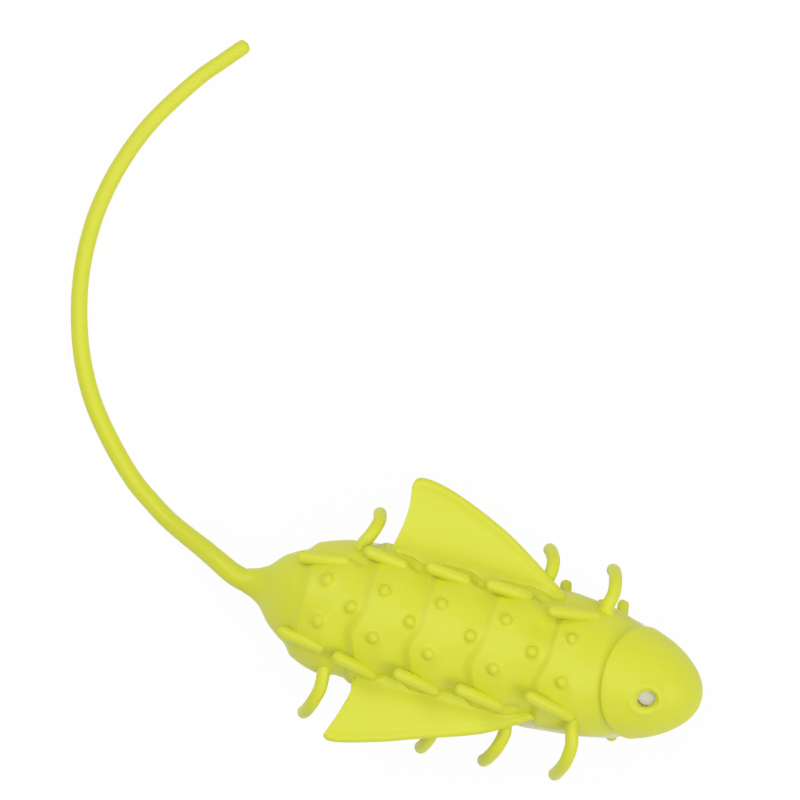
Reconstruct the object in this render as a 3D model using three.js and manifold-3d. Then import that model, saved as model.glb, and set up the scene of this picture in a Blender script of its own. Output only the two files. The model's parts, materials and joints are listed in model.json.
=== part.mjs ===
// Vibrating bug cat toy: a plastic capsule with a shaking motor, in a slip-on rubber bug skin.
// Millimetres. +X runs to the nose, +Y to the bug's left, +Z up, and the feet stand on z = 0.

import * as THREE from 'three';
import { mergeVertices } from 'three/addons/utils/BufferGeometryUtils.js';
import Module from 'manifold-3d';

const wasm = await Module();
wasm.setup();

// Whole body, walls and fits
const bodyRadius = 13;
const axisHeight = 16.5;
const skinWall = 1.8;
const shellWall = 1.2;
const fitGap = 0.3;
const cutOverrun = 3;

// Outline of the skin: distance behind the nose as a share of the length, radius as a share of the radius
const outlineShares = [
  [0, 0], [0.0015, 0.09], [0.0063, 0.175], [0.0126, 0.248], [0.0231, 0.335], [0.0336, 0.404], [0.0546, 0.52],
  [0.0756, 0.614], [0.0966, 0.687], [0.1176, 0.741], [0.1387, 0.79], [0.1597, 0.831], [0.1807, 0.866],
  [0.2227, 0.914], [0.2857, 0.97], [0.3487, 0.997], [0.5168, 1], [0.7269, 0.995], [0.7689, 0.965],
  [0.8109, 0.895], [0.8529, 0.803], [0.895, 0.679], [0.916, 0.561], [0.937, 0.429], [0.958, 0.284],
  [0.979, 0.215], [1, 0.18],
];

// Rings of the back: grooves behind the nose, the first one is the head seam
const grooveShares = [0.1425, 0.3571, 0.5, 0.6345, 0.7584, 0.8887];
const grooveDepth = 0.75;
const ringEdgeShare = 0.09;
const ringRiseShares = [0.22, 0.5, 0.78];
const coneShares = [0.2, 0.35, 0.5, 0.65, 0.82];
const noseShares = [0.03, 0.1, 0.2, 0.33, 0.49, 0.66, 0.83];
const headSlant = 0.7;
const headRoll = THREE.MathUtils.degToRad(16);
const tailDrop = 3.5;
const tailDropStartShare = 0.88;

// Capsule inside the skin
const capsuleFrontShare = 0.04;
const capsuleShares = [0, 0.03, 0.07, 0.12, 0.18, 0.26, 0.35, 0.6, 0.76, 0.83, 0.89, 0.94, 0.975, 1];
const seamHeight = 10.4;
const bellyHeight = 7;

// Rim and tub of the lower shell: the rim lies flush with the skin and is tucked under the head and the tail cone
const rimThickness = 1.4;
const rimInset = 0.15;
const rimTuck = 1;
const rimTuckLength = 3;
const rimNoseSetback = 3.3;
const rimTailSetback = 8.3;
const rimEndLength = 10.5;
const rimShares = [0, 0.012, 0.045, 0.095, 0.15, 0.23, 0.36, 0.5, 0.64, 0.77, 0.85, 0.905, 0.955, 0.988, 1];
const tubInset = 1.2;
const tubBevel = 0.8;

// Round opening over the push button
const buttonAhead = 4.4;
const openingRadius = 1.45;
const buttonRadius = 1.75;
const buttonTop = 7;
const buttonCollarRadius = 2.5;
const buttonCollarTop = 4.2;
const buttonCollarThickness = 0.7;
const buttonRimRadius = 2.1;
const buttonRimWidth = 0.75;
const buttonRimHeight = 9.4;
const buttonRimTilt = THREE.MathUtils.degToRad(24);

// Switch and circuit board
const buttonTravel = 0.8;
const plungerRadius = 1;
const plungerTop = buttonCollarTop - buttonCollarThickness - fitGap;
const plungerLength = 1.7;
const switchSide = 5;
const switchTop = plungerTop - buttonTravel - fitGap;
const switchHeight = 2.7;
const boardThickness = 1;
const boardLength = 6.6;
const boardHalfWidth = 2.5;

// Battery: one AAA cell lying along the body
const cellRadius = 5.25;
const cellLength = 44.5;
const cellNubRadius = 1.9;
const cellNubLength = 0.8;
const cellEdge = 0.5;
const contactThickness = 0.4;
const contactHalfWidth = 3.8;
const contactHeight = 9;
const springWire = 0.3;
const springRadius = 3.5;
const springTipRadius = 1.1;
const springTurns = 2.5;
const springLength = 1.2;

// Belly door and its screw
const doorThickness = 1.3;
const doorHalfWidth = 5.3;
const doorCorner = 1.2;
const doorFrontLap = 0.2;
const doorRearLap = 1.5;
const doorTabLength = 6.6;
const doorTabHalfWidth = 2.4;
const doorTabThickness = 2.4;
const doorPadLength = 5.1;
const doorScrewSetback = 2.8;
const doorGripWidth = 0.9;
const doorGripDepth = 0.4;
const doorGripCount = 5;

// Screws
const screwHeadRadius = 1.4;
const screwHeadHeight = 1;
const screwShankRadius = 0.7;
const screwSlot = 0.45;
const screwBossRadius = 1.5;
const shellScrewLength = 7.5;
const doorScrewLength = 5;
const shellScrewFrontAhead = 3.8;
const shellScrewFrontY = 4.7;
const shellScrewRearBehind = 1.6;
const shellScrewRearY = 4.9;

// Motor, its sleeve, cradle and weight
const motorAxisHeight = 14.5;
const motorRadius = 3;
const motorLength = 7.6;
const motorCapLength = 0.9;
const motorNoseRadius = 1.4;
const motorNoseLength = 0.5;
const shaftRadius = 0.45;
const shaftLength = 5.8;
const shaftSeat = 0.9;
const weightRadius = 2.6;
const weightHub = 1.3;
const weightLength = 3;
const sleeveWall = 0.7;
const sleeveLength = 6;
const cradleLength = 4.4;
const cradleHalfWidth = 5;
const weightRoom = 0.77;
const leadRadius = 0.45;
const leadHeight = 18.6;
const leadReach = 7.2;
const leadSides = 6;

// Stations from the nose back: the head, the cell, its spring, the motor with its weight, and the tail cone
const headRoom = 14.8;
const coneRoom = 9.5;
const springStack = 2 * springWire + springLength + 2 * fitGap + contactThickness;
const motorStack = 2 * fitGap + motorCapLength + motorLength + shaftLength - shaftSeat;
const bodyLength = headRoom + cellLength + springStack + motorStack + coneRoom;
const cellFront = bodyLength / 2 - headRoom;
const cellRear = cellFront - cellLength;
const springFront = cellRear - fitGap - springWire;
const springRear = springFront - springLength;
const rearPlateX = springRear - springWire - fitGap - contactThickness;
const frontPlateX = cellFront + fitGap;
const motorFront = rearPlateX - 2 * fitGap - motorCapLength;
const motorRear = motorFront - motorLength;
const shaftRear = motorRear + shaftSeat - shaftLength;
const capsuleFront = bodyLength / 2 - capsuleFrontShare * bodyLength;
const capsuleRear = shaftRear - weightRoom - shellWall;
const rimFront = bodyLength / 2 - rimNoseSetback;
const rimRear = rimTailSetback - bodyLength / 2;
const buttonX = cellFront + buttonAhead;
const doorFront = cellFront - doorFrontLap;
const doorRear = cellRear - doorRearLap;
const doorTabEnd = doorFront + doorTabLength;
const doorPadRear = doorTabEnd - doorPadLength;
const doorScrewX = doorTabEnd - doorScrewSetback;
const shellScrewFrontX = cellFront + shellScrewFrontAhead;
const shellScrewRearX = motorRear - shellScrewRearBehind;

// Short driving legs on two rubber strips
const stripNoseSetback = 13;
const stripTailSetback = 15.5;
const stripFront = bodyLength / 2 - stripNoseSetback;
const stripRear = stripTailSetback - bodyLength / 2;
const stripWidth = 2.2;
const stripThickness = 1.6;
const stripSetting = 0.5;
const stripMiddle = 7.6;
const shortLegCount = 9;
const shortLegSetback = 1.2;
const shortLegPitch = 6.9;
const shortLegRadius = 1;
const shortLegProud = 0.7;
const shortLegLean = 2.6;
const shortLegFootRadius = 0.9;
const shortLegBendHeight = 3.2;
const shortLegSides = 6;

// Long side legs, one pair at the front of each ring, and the spines above them
const stationShares = [0.2605, 0.4118, 0.542, 0.6786, 0.7983];
const sideLegRadius = 1.05;
const sideLegReach = 20.2;
const sideLegRiseShares = [0.5, 0.17, 0.17, 0.17, 0.38];
const sideLegTipHeight = 7.7;
const sideLegLean = 2.2;
const spineRadius = 1.15;
const spineLean = 9;
const spineTipWidth = 9.6;
const spineTipHeight = 11.4;
const spineRise = 1.2;
const spineRootAngle = THREE.MathUtils.degToRad(54);

// Small bumps: a pair on every ring and one at the rear edge of four rings
const bumpRadius = 1;
const bumpProud = 0.35;
const bumpPairWidth = 4.3;
const bumpPairShares = [0.3025, 0.4465, 0.5851, 0.7111, 0.8319];
const bumpCentreShares = [0.3761, 0.5147, 0.6492, 0.7689];

// Wings: outline in plan from the front root to the rear root, as shares of the chord and the half span
const wingChord = 33.6;
const wingSetback = 28.4;
const wingHalfSpan = 24.1;
const wingThickness = 1;
const wingEdgeRadius = 0.8;
const wingHeight = 4.4;
const wingDroop = THREE.MathUtils.degToRad(4);
const wingEdgeShares = [[0, 0.4], [0.19, 0.61], [0.48, 0.8], [0.72, 0.925], [0.925, 0.995]];
const wingRearShares = [[1, 0.975], [0.985, 0.85], [0.97, 0.68], [1, 0.46]];

// Tail: a cord of soft rubber that leaves the cone and lies on the floor
const tailRadius = 1.55;
const tailRoute = [
  [-43.15, 0, 13], [-45.4, 0.25, 12.85], [-48.4, 1.5, 11.5], [-51.4, 3.2, 9.3], [-54.6, 4.8, 7], [-58.9, 7, 4.4],
  [-62.9, 9.5, 2.7], [-67.2, 12.7, 1.8], [-72.7, 18.2, 1.6], [-77.6, 24.3, 1.6], [-81.2, 30.8, 1.6],
  [-83.7, 37.6, 1.6], [-85.3, 44.6, 1.6], [-85.9, 51.8, 1.6], [-85.3, 59.4, 1.6], [-83.3, 67.5, 1.6],
  [-79.7, 75.8, 1.6], [-74.3, 84.8, 1.6], [-70.4, 89.5, 1.6], [-67.3, 93.1, 1.6],
];

// Facet counts
const bodySides = 24;
const innerSides = 16;
const roundSides = 12;
const fingerSides = 8;
const fingerSteps = 4;
const cornerSteps = 3;
const tailSides = 8;
const tailSteps = 24;
const leadSteps = 4;
const outlineSamples = 400;
const bendSteps = 8;
const leanTurns = 8;

// Materials
const finish = (color, roughness, metalness) => new THREE.MeshStandardMaterial({ color, roughness, metalness });
const skinFinish = () => finish(0xdee054, 0.55, 0);
const shellFinish = () => finish(0xf2f1ea, 0.4, 0);
const steelFinish = () => finish(0xb9bcc0, 0.3, 1);

// Solids and booleans
function toSolid(geometry) {
  const bare = geometry.index ? geometry.toNonIndexed() : geometry.clone();
  bare.deleteAttribute('normal');
  bare.deleteAttribute('uv');
  const merged = mergeVertices(bare);
  const mesh = new wasm.Mesh({
    numProp: 3,
    vertProperties: new Float32Array(merged.attributes.position.array),
    triVerts: new Uint32Array(merged.index.array),
  });
  mesh.merge();
  const solid = new wasm.Manifold(mesh);
  if (solid.volume() > 0) {
    return solid;
  }
  const turned = new Uint32Array(mesh.triVerts);
  for (let corner = 0; corner < turned.length; corner += 3) {
    const kept = turned[corner];
    turned[corner] = turned[corner + 1];
    turned[corner + 1] = kept;
  }
  const outward = new wasm.Mesh({ numProp: 3, vertProperties: mesh.vertProperties, triVerts: turned });
  outward.merge();
  return new wasm.Manifold(outward);
}

function toGeometry(solid) {
  const mesh = solid.getMesh();
  const geometry = new THREE.BufferGeometry();
  geometry.setAttribute('position', new THREE.BufferAttribute(new Float32Array(mesh.vertProperties), 3));
  geometry.setIndex(new THREE.BufferAttribute(new Uint32Array(mesh.triVerts), 1));
  geometry.computeVertexNormals();
  return geometry;
}

function joined(solids) {
  return solids.reduce((sum, solid) => sum.add(solid));
}

// Basic forms
function block(lengthX, widthY, heightZ, x, y, z) {
  return toSolid(new THREE.BoxGeometry(lengthX, widthY, heightZ).translate(x, y, z));
}

function slab(lowX, highX, halfWidth, lowZ, highZ, middleY = 0) {
  const length = highX - lowX;
  const height = highZ - lowZ;
  return block(length, 2 * halfWidth, height, lowX + length / 2, middleY, lowZ + height / 2);
}

function postZ(radius, lowZ, highZ, x, y, sides = roundSides) {
  const height = highZ - lowZ;
  const geometry = new THREE.CylinderGeometry(radius, radius, height, sides).rotateX(Math.PI / 2);
  return toSolid(geometry.translate(x, y, lowZ + height / 2));
}

function rodX(radius, lowX, highX, y, z, sides = roundSides) {
  const length = highX - lowX;
  const geometry = new THREE.CylinderGeometry(radius, radius, length, sides).rotateZ(Math.PI / 2);
  return toSolid(geometry.translate(lowX + length / 2, y, z));
}

function plate(shape, lowZ, highZ, bevel = 0, steps = cornerSteps) {
  const geometry = new THREE.ExtrudeGeometry(shape, {
    depth: highZ - lowZ - 2 * bevel,
    bevelEnabled: bevel > 0,
    bevelThickness: bevel,
    bevelSize: bevel,
    bevelOffset: -bevel,
    bevelSegments: 2,
    curveSegments: steps,
  });
  return toSolid(geometry.translate(0, 0, lowZ + bevel));
}

function tube(curve, radius, sides, steps) {
  const points = [];
  for (let side = 0; side < sides; side += 1) {
    const angle = (side / sides) * 2 * Math.PI;
    points.push(new THREE.Vector2(radius * Math.cos(angle), radius * Math.sin(angle)));
  }
  return new THREE.ExtrudeGeometry(new THREE.Shape(points), { steps, extrudePath: curve, curveSegments: 1 });
}

// A rubber finger: a turned pin with a round tip, bent along a curve that lies in one plane
function finger(root, bend, tip, radius, tipRadius, sides) {
  const curve = new THREE.QuadraticBezierCurve3(root, bend, tip);
  const length = curve.getLength();
  const profile = [new THREE.Vector2(0, 0)];
  for (let step = 0; step <= fingerSteps; step += 1) {
    const share = step / fingerSteps;
    profile.push(new THREE.Vector2(radius + share * (tipRadius - radius), share * length));
  }
  profile.push(new THREE.Vector2(tipRadius * Math.SQRT1_2, length + tipRadius * Math.SQRT1_2));
  profile.push(new THREE.Vector2(0, length + tipRadius));
  const geometry = new THREE.LatheGeometry(profile, sides);
  const across = new THREE.Vector3().crossVectors(curve.getTangent(0), curve.getTangent(1)).normalize();
  const position = geometry.attributes.position;
  for (let vertex = 0; vertex < position.count; vertex += 1) {
    const along = position.getY(vertex);
    const share = Math.min(along / length, 1);
    const tangent = curve.getTangentAt(share);
    const side = new THREE.Vector3().crossVectors(tangent, across);
    const point = curve.getPointAt(share)
      .addScaledVector(tangent, along - share * length)
      .addScaledVector(across, position.getX(vertex))
      .addScaledVector(side, position.getZ(vertex));
    position.setXYZ(vertex, point.x, point.y, point.z);
  }
  return toSolid(geometry);
}

// The skin's outline as a smooth curve
const outlineCurve = new THREE.SplineCurve(outlineShares.map(([back, out]) => new THREE.Vector2(back, out)));
const outlinePoints = outlineCurve.getPoints(outlineSamples);

function radiusAt(backShare) {
  const next = outlinePoints.findIndex((point) => point.x >= backShare);
  if (next <= 0) {
    return next === 0 ? 0 : outlinePoints[outlinePoints.length - 1].y * bodyRadius;
  }
  const low = outlinePoints[next - 1];
  const high = outlinePoints[next];
  const part = (backShare - low.x) / (high.x - low.x);
  return (low.y + part * (high.y - low.y)) * bodyRadius;
}

const wingFront = bodyLength / 2 - wingSetback;
const placeX = (backShare) => bodyLength / 2 - backShare * bodyLength;
const shareOfX = (x) => 0.5 - x / bodyLength;
const headSeamShare = grooveShares[0];
const collarShare = grooveShares[1];
const smooth = (value) => {
  const t = Math.min(Math.max(value, 0), 1);
  return t * t * (3 - 2 * t);
};

// The head seam leans back: rows tilt more and more from the collar to the head seam, then less to the nose
function slantAt(backShare) {
  if (backShare >= headSeamShare) {
    return headSlant * smooth((collarShare - backShare) / (collarShare - headSeamShare));
  }
  return headSlant * smooth(backShare / headSeamShare);
}

function dropAt(backShare) {
  return tailDrop * smooth((backShare - tailDropStartShare) / (1 - tailDropStartShare));
}

// Turns a profile round the body's axis, leans its rows if asked, and lets the tail cone sink.
// A leaning row is cut from the same outline, so each of its points takes the radius at the place that it leans to.
function revolved(profile, sides, leans = false) {
  const points = profile.map(([x, radius]) => new THREE.Vector2(radius, x));
  const geometry = new THREE.LatheGeometry(points, sides).rotateZ(-Math.PI / 2);
  const position = geometry.attributes.position;
  for (let vertex = 0; vertex < position.count; vertex += 1) {
    const x = position.getX(vertex);
    const y = position.getY(vertex);
    const z = position.getZ(vertex);
    const reach = Math.hypot(y, z);
    const slant = leans ? slantAt(shareOfX(x)) : 0;
    let place = x;
    let scale = 1;
    if (slant > 0 && reach > 0) {
      const relief = reach - radiusAt(shareOfX(x));
      for (let turn = 0; turn < leanTurns; turn += 1) {
        place = x - slant * z * scale;
        scale = (radiusAt(shareOfX(place)) + relief) / reach;
      }
    }
    position.setXYZ(vertex, place, y * scale, z * scale + axisHeight - dropAt(shareOfX(place)));
  }
  return toSolid(geometry);
}

// Stations along the skin, close together at the grooves
function skinProfile() {
  const profile = [[placeX(0), 0]];
  noseShares.forEach((noseShare) => {
    const share = headSeamShare * noseShare;
    profile.push([placeX(share), radiusAt(share)]);
  });
  grooveShares.forEach((groove, ring) => {
    const end = grooveShares[ring + 1] ?? 1;
    const length = end - groove;
    const last = ring === grooveShares.length - 1;
    profile.push([placeX(groove), radiusAt(groove) - grooveDepth]);
    profile.push([placeX(groove + ringEdgeShare * length), radiusAt(groove + ringEdgeShare * length)]);
    (last ? coneShares : ringRiseShares).forEach((stop) => {
      profile.push([placeX(groove + stop * length), radiusAt(groove + stop * length)]);
    });
    if (!last) {
      const edge = groove + (1 - ringEdgeShare) * length;
      profile.push([placeX(edge), radiusAt(edge)]);
    }
  });
  profile.push([placeX(1), radiusAt(1)]);
  profile.push([placeX(1), 0]);
  return profile;
}

// A hollow or shell surface that follows the skin at a set depth
function innerProfile(depth, frontX, rearX) {
  const profile = [[frontX, 0]];
  capsuleShares.forEach((share) => {
    const x = frontX + share * (rearX - frontX);
    profile.push([x, radiusAt(shareOfX(x)) - depth]);
  });
  profile.push([rearX, 0]);
  return profile;
}

const capsuleDepth = skinWall + fitGap;
const hollowDepth = capsuleDepth + shellWall;
const skinHollow = revolved(innerProfile(skinWall, capsuleFront + fitGap, capsuleRear - fitGap), innerSides);
const capsuleSolid = revolved(innerProfile(capsuleDepth, capsuleFront, capsuleRear), innerSides);
const capsuleHollow = revolved(innerProfile(hollowDepth, capsuleFront - shellWall, capsuleRear + shellWall), innerSides);
const everything = 2 * bodyLength;

// Half width of the rim in plan: the skin's outline less an inset, rounded off at both ends
function rimHalf(x, front, rear, inset) {
  const tucked = rimTuck * smooth((x - placeX(headSeamShare) + rimTuckLength) / rimTuckLength);
  const outline = radiusAt(shareOfX(x)) - rimInset - tucked - inset;
  const noseSide = Math.max(x - front + rimEndLength, 0) / rimEndLength;
  const tailSide = Math.max(rear + rimEndLength - x, 0) / rimEndLength;
  const round = Math.sqrt(Math.max(1 - Math.max(noseSide, tailSide) ** 2, 0));
  return Math.min(outline, (bodyRadius - rimInset - inset) * round);
}

// Plan outline of the rim and the tub
function rimOutline(inset) {
  const front = rimFront - inset;
  const rear = rimRear + inset;
  const side = rimShares.map((share) => {
    const x = rear + share * (front - rear);
    return new THREE.Vector2(x, Math.max(rimHalf(x, front, rear, inset), 0));
  });
  const inner = side.slice(1, -1);
  const mirrored = inner.map((point) => new THREE.Vector2(point.x, -point.y));
  return new THREE.Shape([side[0], ...mirrored, side[side.length - 1], ...inner.reverse()]);
}

// Wings
const rightSide = (solid) => solid.mirror([0, 1, 0]);

function wing() {
  const place = ([along, out]) => new THREE.Vector2(wingFront - along * wingChord, out * wingHalfSpan);
  const edge = wingEdgeShares.map(place);
  const rear = wingRearShares.map(place);
  const leading = new THREE.SplineCurve(edge).getPoints(bendSteps);
  const trailing = new THREE.SplineCurve([edge[edge.length - 1], ...rear]).getPoints(bendSteps);
  const root = new THREE.Vector2(rear[rear.length - 1].x, bodyRadius / 2);
  const rootFront = new THREE.Vector2(edge[0].x, bodyRadius / 2);
  const outline = new THREE.Shape([rootFront, ...leading, ...trailing.slice(1), root]);
  const low = -wingThickness / 2;
  const blade = plate(outline, low, low + wingThickness);
  const path = new THREE.CatmullRomCurve3([...leading].map((point) => new THREE.Vector3(point.x, point.y, 0)));
  const lip = toSolid(tube(path, wingEdgeRadius, fingerSides, bendSteps));
  const tipPoint = leading[leading.length - 1];
  const ball = new THREE.SphereGeometry(wingEdgeRadius, fingerSides, fingerSides / 2);
  const tip = toSolid(ball.translate(tipPoint.x, tipPoint.y, 0));
  const flat = joined([blade, lip, tip]);
  const hinge = Math.sqrt(bodyRadius ** 2 - wingHeight ** 2);
  return flat
    .translate([0, -hinge, 0])
    .rotate([-THREE.MathUtils.radToDeg(wingDroop), 0, 0])
    .translate([0, hinge, axisHeight + wingHeight]);
}

// One spine and one long leg on the left side of a ring
function spine(share) {
  const x = placeX(share);
  const deep = radiusAt(share) - skinWall / 2;
  const rootY = deep * Math.sin(spineRootAngle);
  const rootZ = deep * Math.cos(spineRootAngle);
  const scale = radiusAt(share) / bodyRadius;
  const root = new THREE.Vector3(x, rootY, axisHeight + rootZ);
  const tip = new THREE.Vector3(x - spineLean, spineTipWidth * scale, axisHeight + spineTipHeight * scale);
  const bend = new THREE.Vector3(x - spineLean / 3, (rootY + tip.y) / 2, (root.z + tip.z) / 2 + spineRise);
  return finger(root, bend, tip, spineRadius, spineRadius, fingerSides);
}

function sideLeg(share, station) {
  const x = placeX(share);
  const deep = radiusAt(share) - skinWall / 2;
  const rise = sideLegRiseShares[station] * bodyRadius;
  const root = new THREE.Vector3(x, Math.sqrt(deep ** 2 - rise ** 2), axisHeight + rise);
  const bend = new THREE.Vector3(x + sideLegLean / 2, sideLegReach, axisHeight + rise);
  const tip = new THREE.Vector3(x - sideLegLean, sideLegReach, sideLegTipHeight);
  return finger(root, bend, tip, sideLegRadius, sideLegRadius, fingerSides);
}

function bump(share, y) {
  const reach = radiusAt(share) - bumpRadius + bumpProud;
  const z = Math.sqrt(reach ** 2 - y ** 2);
  const ball = new THREE.SphereGeometry(bumpRadius, fingerSides, fingerSides / 2).rotateX(Math.PI / 2);
  return toSolid(ball.translate(placeX(share), y, axisHeight + z));
}

// Pieces under the head are set in a frame that rolls about the body's axis
const rollDegrees = THREE.MathUtils.radToDeg(headRoll);
const rolled = (solid) => solid.rotate([rollDegrees, 0, 0]).translate([0, 0, axisHeight]);

function skin() {
  const left = [wing(), ...stationShares.map(spine), ...stationShares.map(sideLeg)];
  const bumps = bumpPairShares.flatMap((share) => [bump(share, bumpPairWidth), bump(share, -bumpPairWidth)]);
  bumps.push(...bumpCentreShares.map((share) => bump(share, 0)));
  const rim = new THREE.TorusGeometry(buttonRimRadius, buttonRimWidth, fingerSides, roundSides);
  const collar = rolled(toSolid(rim.rotateY(buttonRimTilt).translate(buttonX, 0, buttonRimHeight)));
  const outer = revolved(skinProfile(), bodySides, true);
  const body = joined([outer, ...left, ...left.map(rightSide), ...bumps, collar]);
  const hole = rolled(postZ(openingRadius, 0, bodyRadius, buttonX, 0));
  const seat = plate(rimOutline(-fitGap), -cutOverrun, seamHeight + fitGap);
  return body.subtract(skinHollow).subtract(hole).subtract(seat);
}

// Shells
const screwPlaces = [
  { name: 'shell_screw_front_left', x: shellScrewFrontX, y: shellScrewFrontY },
  { name: 'shell_screw_front_right', x: shellScrewFrontX, y: -shellScrewFrontY },
  { name: 'shell_screw_rear_left', x: shellScrewRearX, y: shellScrewRearY },
  { name: 'shell_screw_rear_right', x: shellScrewRearX, y: -shellScrewRearY },
];

function upperShell() {
  const wall = capsuleSolid.subtract(capsuleHollow);
  const lift = seamHeight + fitGap;
  const screwEnd = bellyHeight + screwHeadHeight + shellScrewLength + fitGap;
  const posts = screwPlaces.map(({ x, y }) => postZ(screwBossRadius, lift, screwEnd + shellWall, x, y));
  const bosses = joined(posts).intersect(capsuleSolid);
  const shell = wall.add(bosses);
  const above = slab(-everything, everything, everything, lift, everything);
  const bores = screwPlaces.map(({ x, y }) => postZ(screwShankRadius + fitGap, 0, screwEnd, x, y));
  const buttonHole = rolled(postZ(buttonRadius + fitGap, 0, bodyRadius, buttonX, 0));
  return shell.intersect(above).subtract(joined(bores)).subtract(buttonHole);
}

function roundedRect(lowX, highX, half, corner) {
  const shape = new THREE.Shape();
  shape.moveTo(lowX + corner, -half);
  shape.lineTo(highX - corner, -half);
  shape.absarc(highX - corner, -half + corner, corner, -Math.PI / 2, 0, false);
  shape.lineTo(highX, half - corner);
  shape.absarc(highX - corner, half - corner, corner, 0, Math.PI / 2, false);
  shape.lineTo(lowX + corner, half);
  shape.absarc(lowX + corner, half - corner, corner, Math.PI / 2, Math.PI, false);
  shape.lineTo(lowX, -half + corner);
  shape.absarc(lowX + corner, -half + corner, corner, Math.PI, 1.5 * Math.PI, false);
  return shape;
}

function doorBody(grow, overrun) {
  const low = bellyHeight - overrun;
  const top = bellyHeight + doorThickness + grow;
  const half = doorTabHalfWidth + grow;
  const panel = roundedRect(doorRear - grow, doorFront + grow, doorHalfWidth + grow, doorCorner + grow);
  const neck = roundedRect(doorFront - 2 * doorCorner, doorTabEnd + grow, half, doorCorner + grow);
  const pad = roundedRect(doorPadRear - grow, doorTabEnd + grow, half, doorCorner + grow);
  return joined([plate(panel, low, top), plate(neck, low, top), plate(pad, low, bellyHeight + doorTabThickness + grow)]);
}

function lowerShell() {
  const rim = plate(rimOutline(0), seamHeight - rimThickness, seamHeight);
  const tub = plate(rimOutline(tubInset), bellyHeight, seamHeight, tubBevel)
    .add(plate(rimOutline(tubInset), seamHeight - rimThickness, seamHeight));
  const floor = bellyHeight + shellWall;
  const hollow = capsuleHollow.intersect(slab(-everything, everything, everything, floor, everything));
  const ceilingLow = bellyHeight + doorTabThickness + fitGap;
  const ceiling = slab(doorFront + shellWall, doorTabEnd + shellWall, doorTabHalfWidth + shellWall,
    ceilingLow, seamHeight);
  const doorBoss = postZ(screwBossRadius + shellWall / 2, ceilingLow,
    bellyHeight + screwHeadHeight + doorScrewLength, doorScrewX, 0);
  const cradleMiddle = motorFront - motorLength / 2;
  const cradle = slab(cradleMiddle - cradleLength / 2, cradleMiddle + cradleLength / 2, cradleHalfWidth,
    bellyHeight, motorAxisHeight);
  const saddle = rodX(motorRadius + sleeveWall + 2 * fitGap, cradleMiddle - motorLength,
    cradleMiddle + motorLength, 0, motorAxisHeight);
  const ribs = cradle.subtract(saddle).intersect(capsuleHollow.add(tub));
  const shell = joined([rim.add(tub).subtract(hollow), ceiling, doorBoss, ribs]);
  const channelHalf = stripWidth / 2 + fitGap;
  const channelTop = bellyHeight + stripThickness - stripSetting + fitGap;
  const channel = slab(stripRear - fitGap, stripFront + fitGap, channelHalf, bellyHeight - cutOverrun,
    channelTop, stripMiddle);
  const bores = screwPlaces.flatMap(({ x, y }) => [
    postZ(screwShankRadius + fitGap, bellyHeight - cutOverrun, seamHeight + cutOverrun, x, y),
    postZ(screwHeadRadius + fitGap, bellyHeight - cutOverrun, bellyHeight + screwHeadHeight + fitGap, x, y),
  ]);
  const doorBore = postZ(screwShankRadius + fitGap, bellyHeight, axisHeight, doorScrewX, 0);
  const slot = slab(frontPlateX - fitGap, frontPlateX + contactThickness + fitGap, contactHalfWidth + fitGap,
    floor, axisHeight);
  const sweep = rodX(weightRadius + 2 * fitGap, shaftRear - fitGap, motorRear - motorNoseLength, 0, motorAxisHeight);
  return shell
    .subtract(slot)
    .subtract(sweep)
    .subtract(doorBody(fitGap, cutOverrun))
    .subtract(channel)
    .subtract(rightSide(channel))
    .subtract(joined(bores))
    .subtract(doorBore);
}

// Rubber strip with its row of short legs, left side
function legStrip() {
  const low = bellyHeight - stripSetting;
  const bar = slab(stripRear, stripFront, stripWidth / 2, low, low + stripThickness, stripMiddle);
  const legs = [];
  for (let leg = 0; leg < shortLegCount; leg += 1) {
    const x = stripFront - shortLegSetback - leg * shortLegPitch;
    const spread = radiusAt(shareOfX(x - shortLegLean)) + shortLegProud;
    const root = new THREE.Vector3(x, stripMiddle, low + stripSetting);
    const bend = new THREE.Vector3(x, stripMiddle + stripSetting, shortLegBendHeight);
    const tip = new THREE.Vector3(x - shortLegLean, spread, -shortLegRadius);
    legs.push(finger(root, bend, tip, shortLegRadius, shortLegFootRadius, shortLegSides));
  }
  const ground = slab(-everything, everything, everything, -cutOverrun, 0);
  return joined([bar, ...legs]).subtract(ground);
}

// Button, switch and board stand in the head's rolled frame
function powerButton() {
  const stem = postZ(buttonRadius, buttonCollarTop - buttonCollarThickness, buttonTop, buttonX, 0);
  const collar = postZ(buttonCollarRadius, buttonCollarTop - buttonCollarThickness, buttonCollarTop, buttonX, 0);
  return rolled(stem.add(collar));
}

function switchPlunger() {
  return rolled(postZ(plungerRadius, plungerTop - plungerLength, plungerTop, buttonX, 0));
}

function switchBody() {
  const half = switchSide / 2;
  const body = slab(buttonX - half, buttonX + half, half, switchTop - switchHeight, switchTop);
  const bore = postZ(plungerRadius + fitGap, plungerTop - plungerLength - buttonTravel - fitGap,
    axisHeight, buttonX, 0);
  return rolled(body.subtract(bore));
}

function circuitBoard() {
  const top = switchTop - switchHeight - fitGap;
  const rear = buttonX - boardLength / 2;
  const outline = roundedRect(rear, rear + boardLength, boardHalfWidth, doorCorner / 2);
  return rolled(plate(outline, top - boardThickness, top));
}

// Battery and contacts
const cellHeight = bellyHeight + doorThickness + fitGap + cellRadius;

function turnedX(profile, sides, y, z) {
  const points = profile.map(([x, radius]) => new THREE.Vector2(radius, x));
  return toSolid(new THREE.LatheGeometry(points, sides).rotateZ(-Math.PI / 2).translate(0, y, z));
}

function batteryCell() {
  const shoulder = cellFront - cellNubLength;
  return turnedX([
    [cellRear, 0], [cellRear, cellRadius - cellEdge], [cellRear + cellEdge, cellRadius],
    [shoulder - cellEdge, cellRadius],
    [shoulder, cellRadius - cellEdge], [shoulder, cellNubRadius], [cellFront, cellNubRadius], [cellFront, 0],
  ], innerSides, 0, cellHeight);
}

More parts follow.
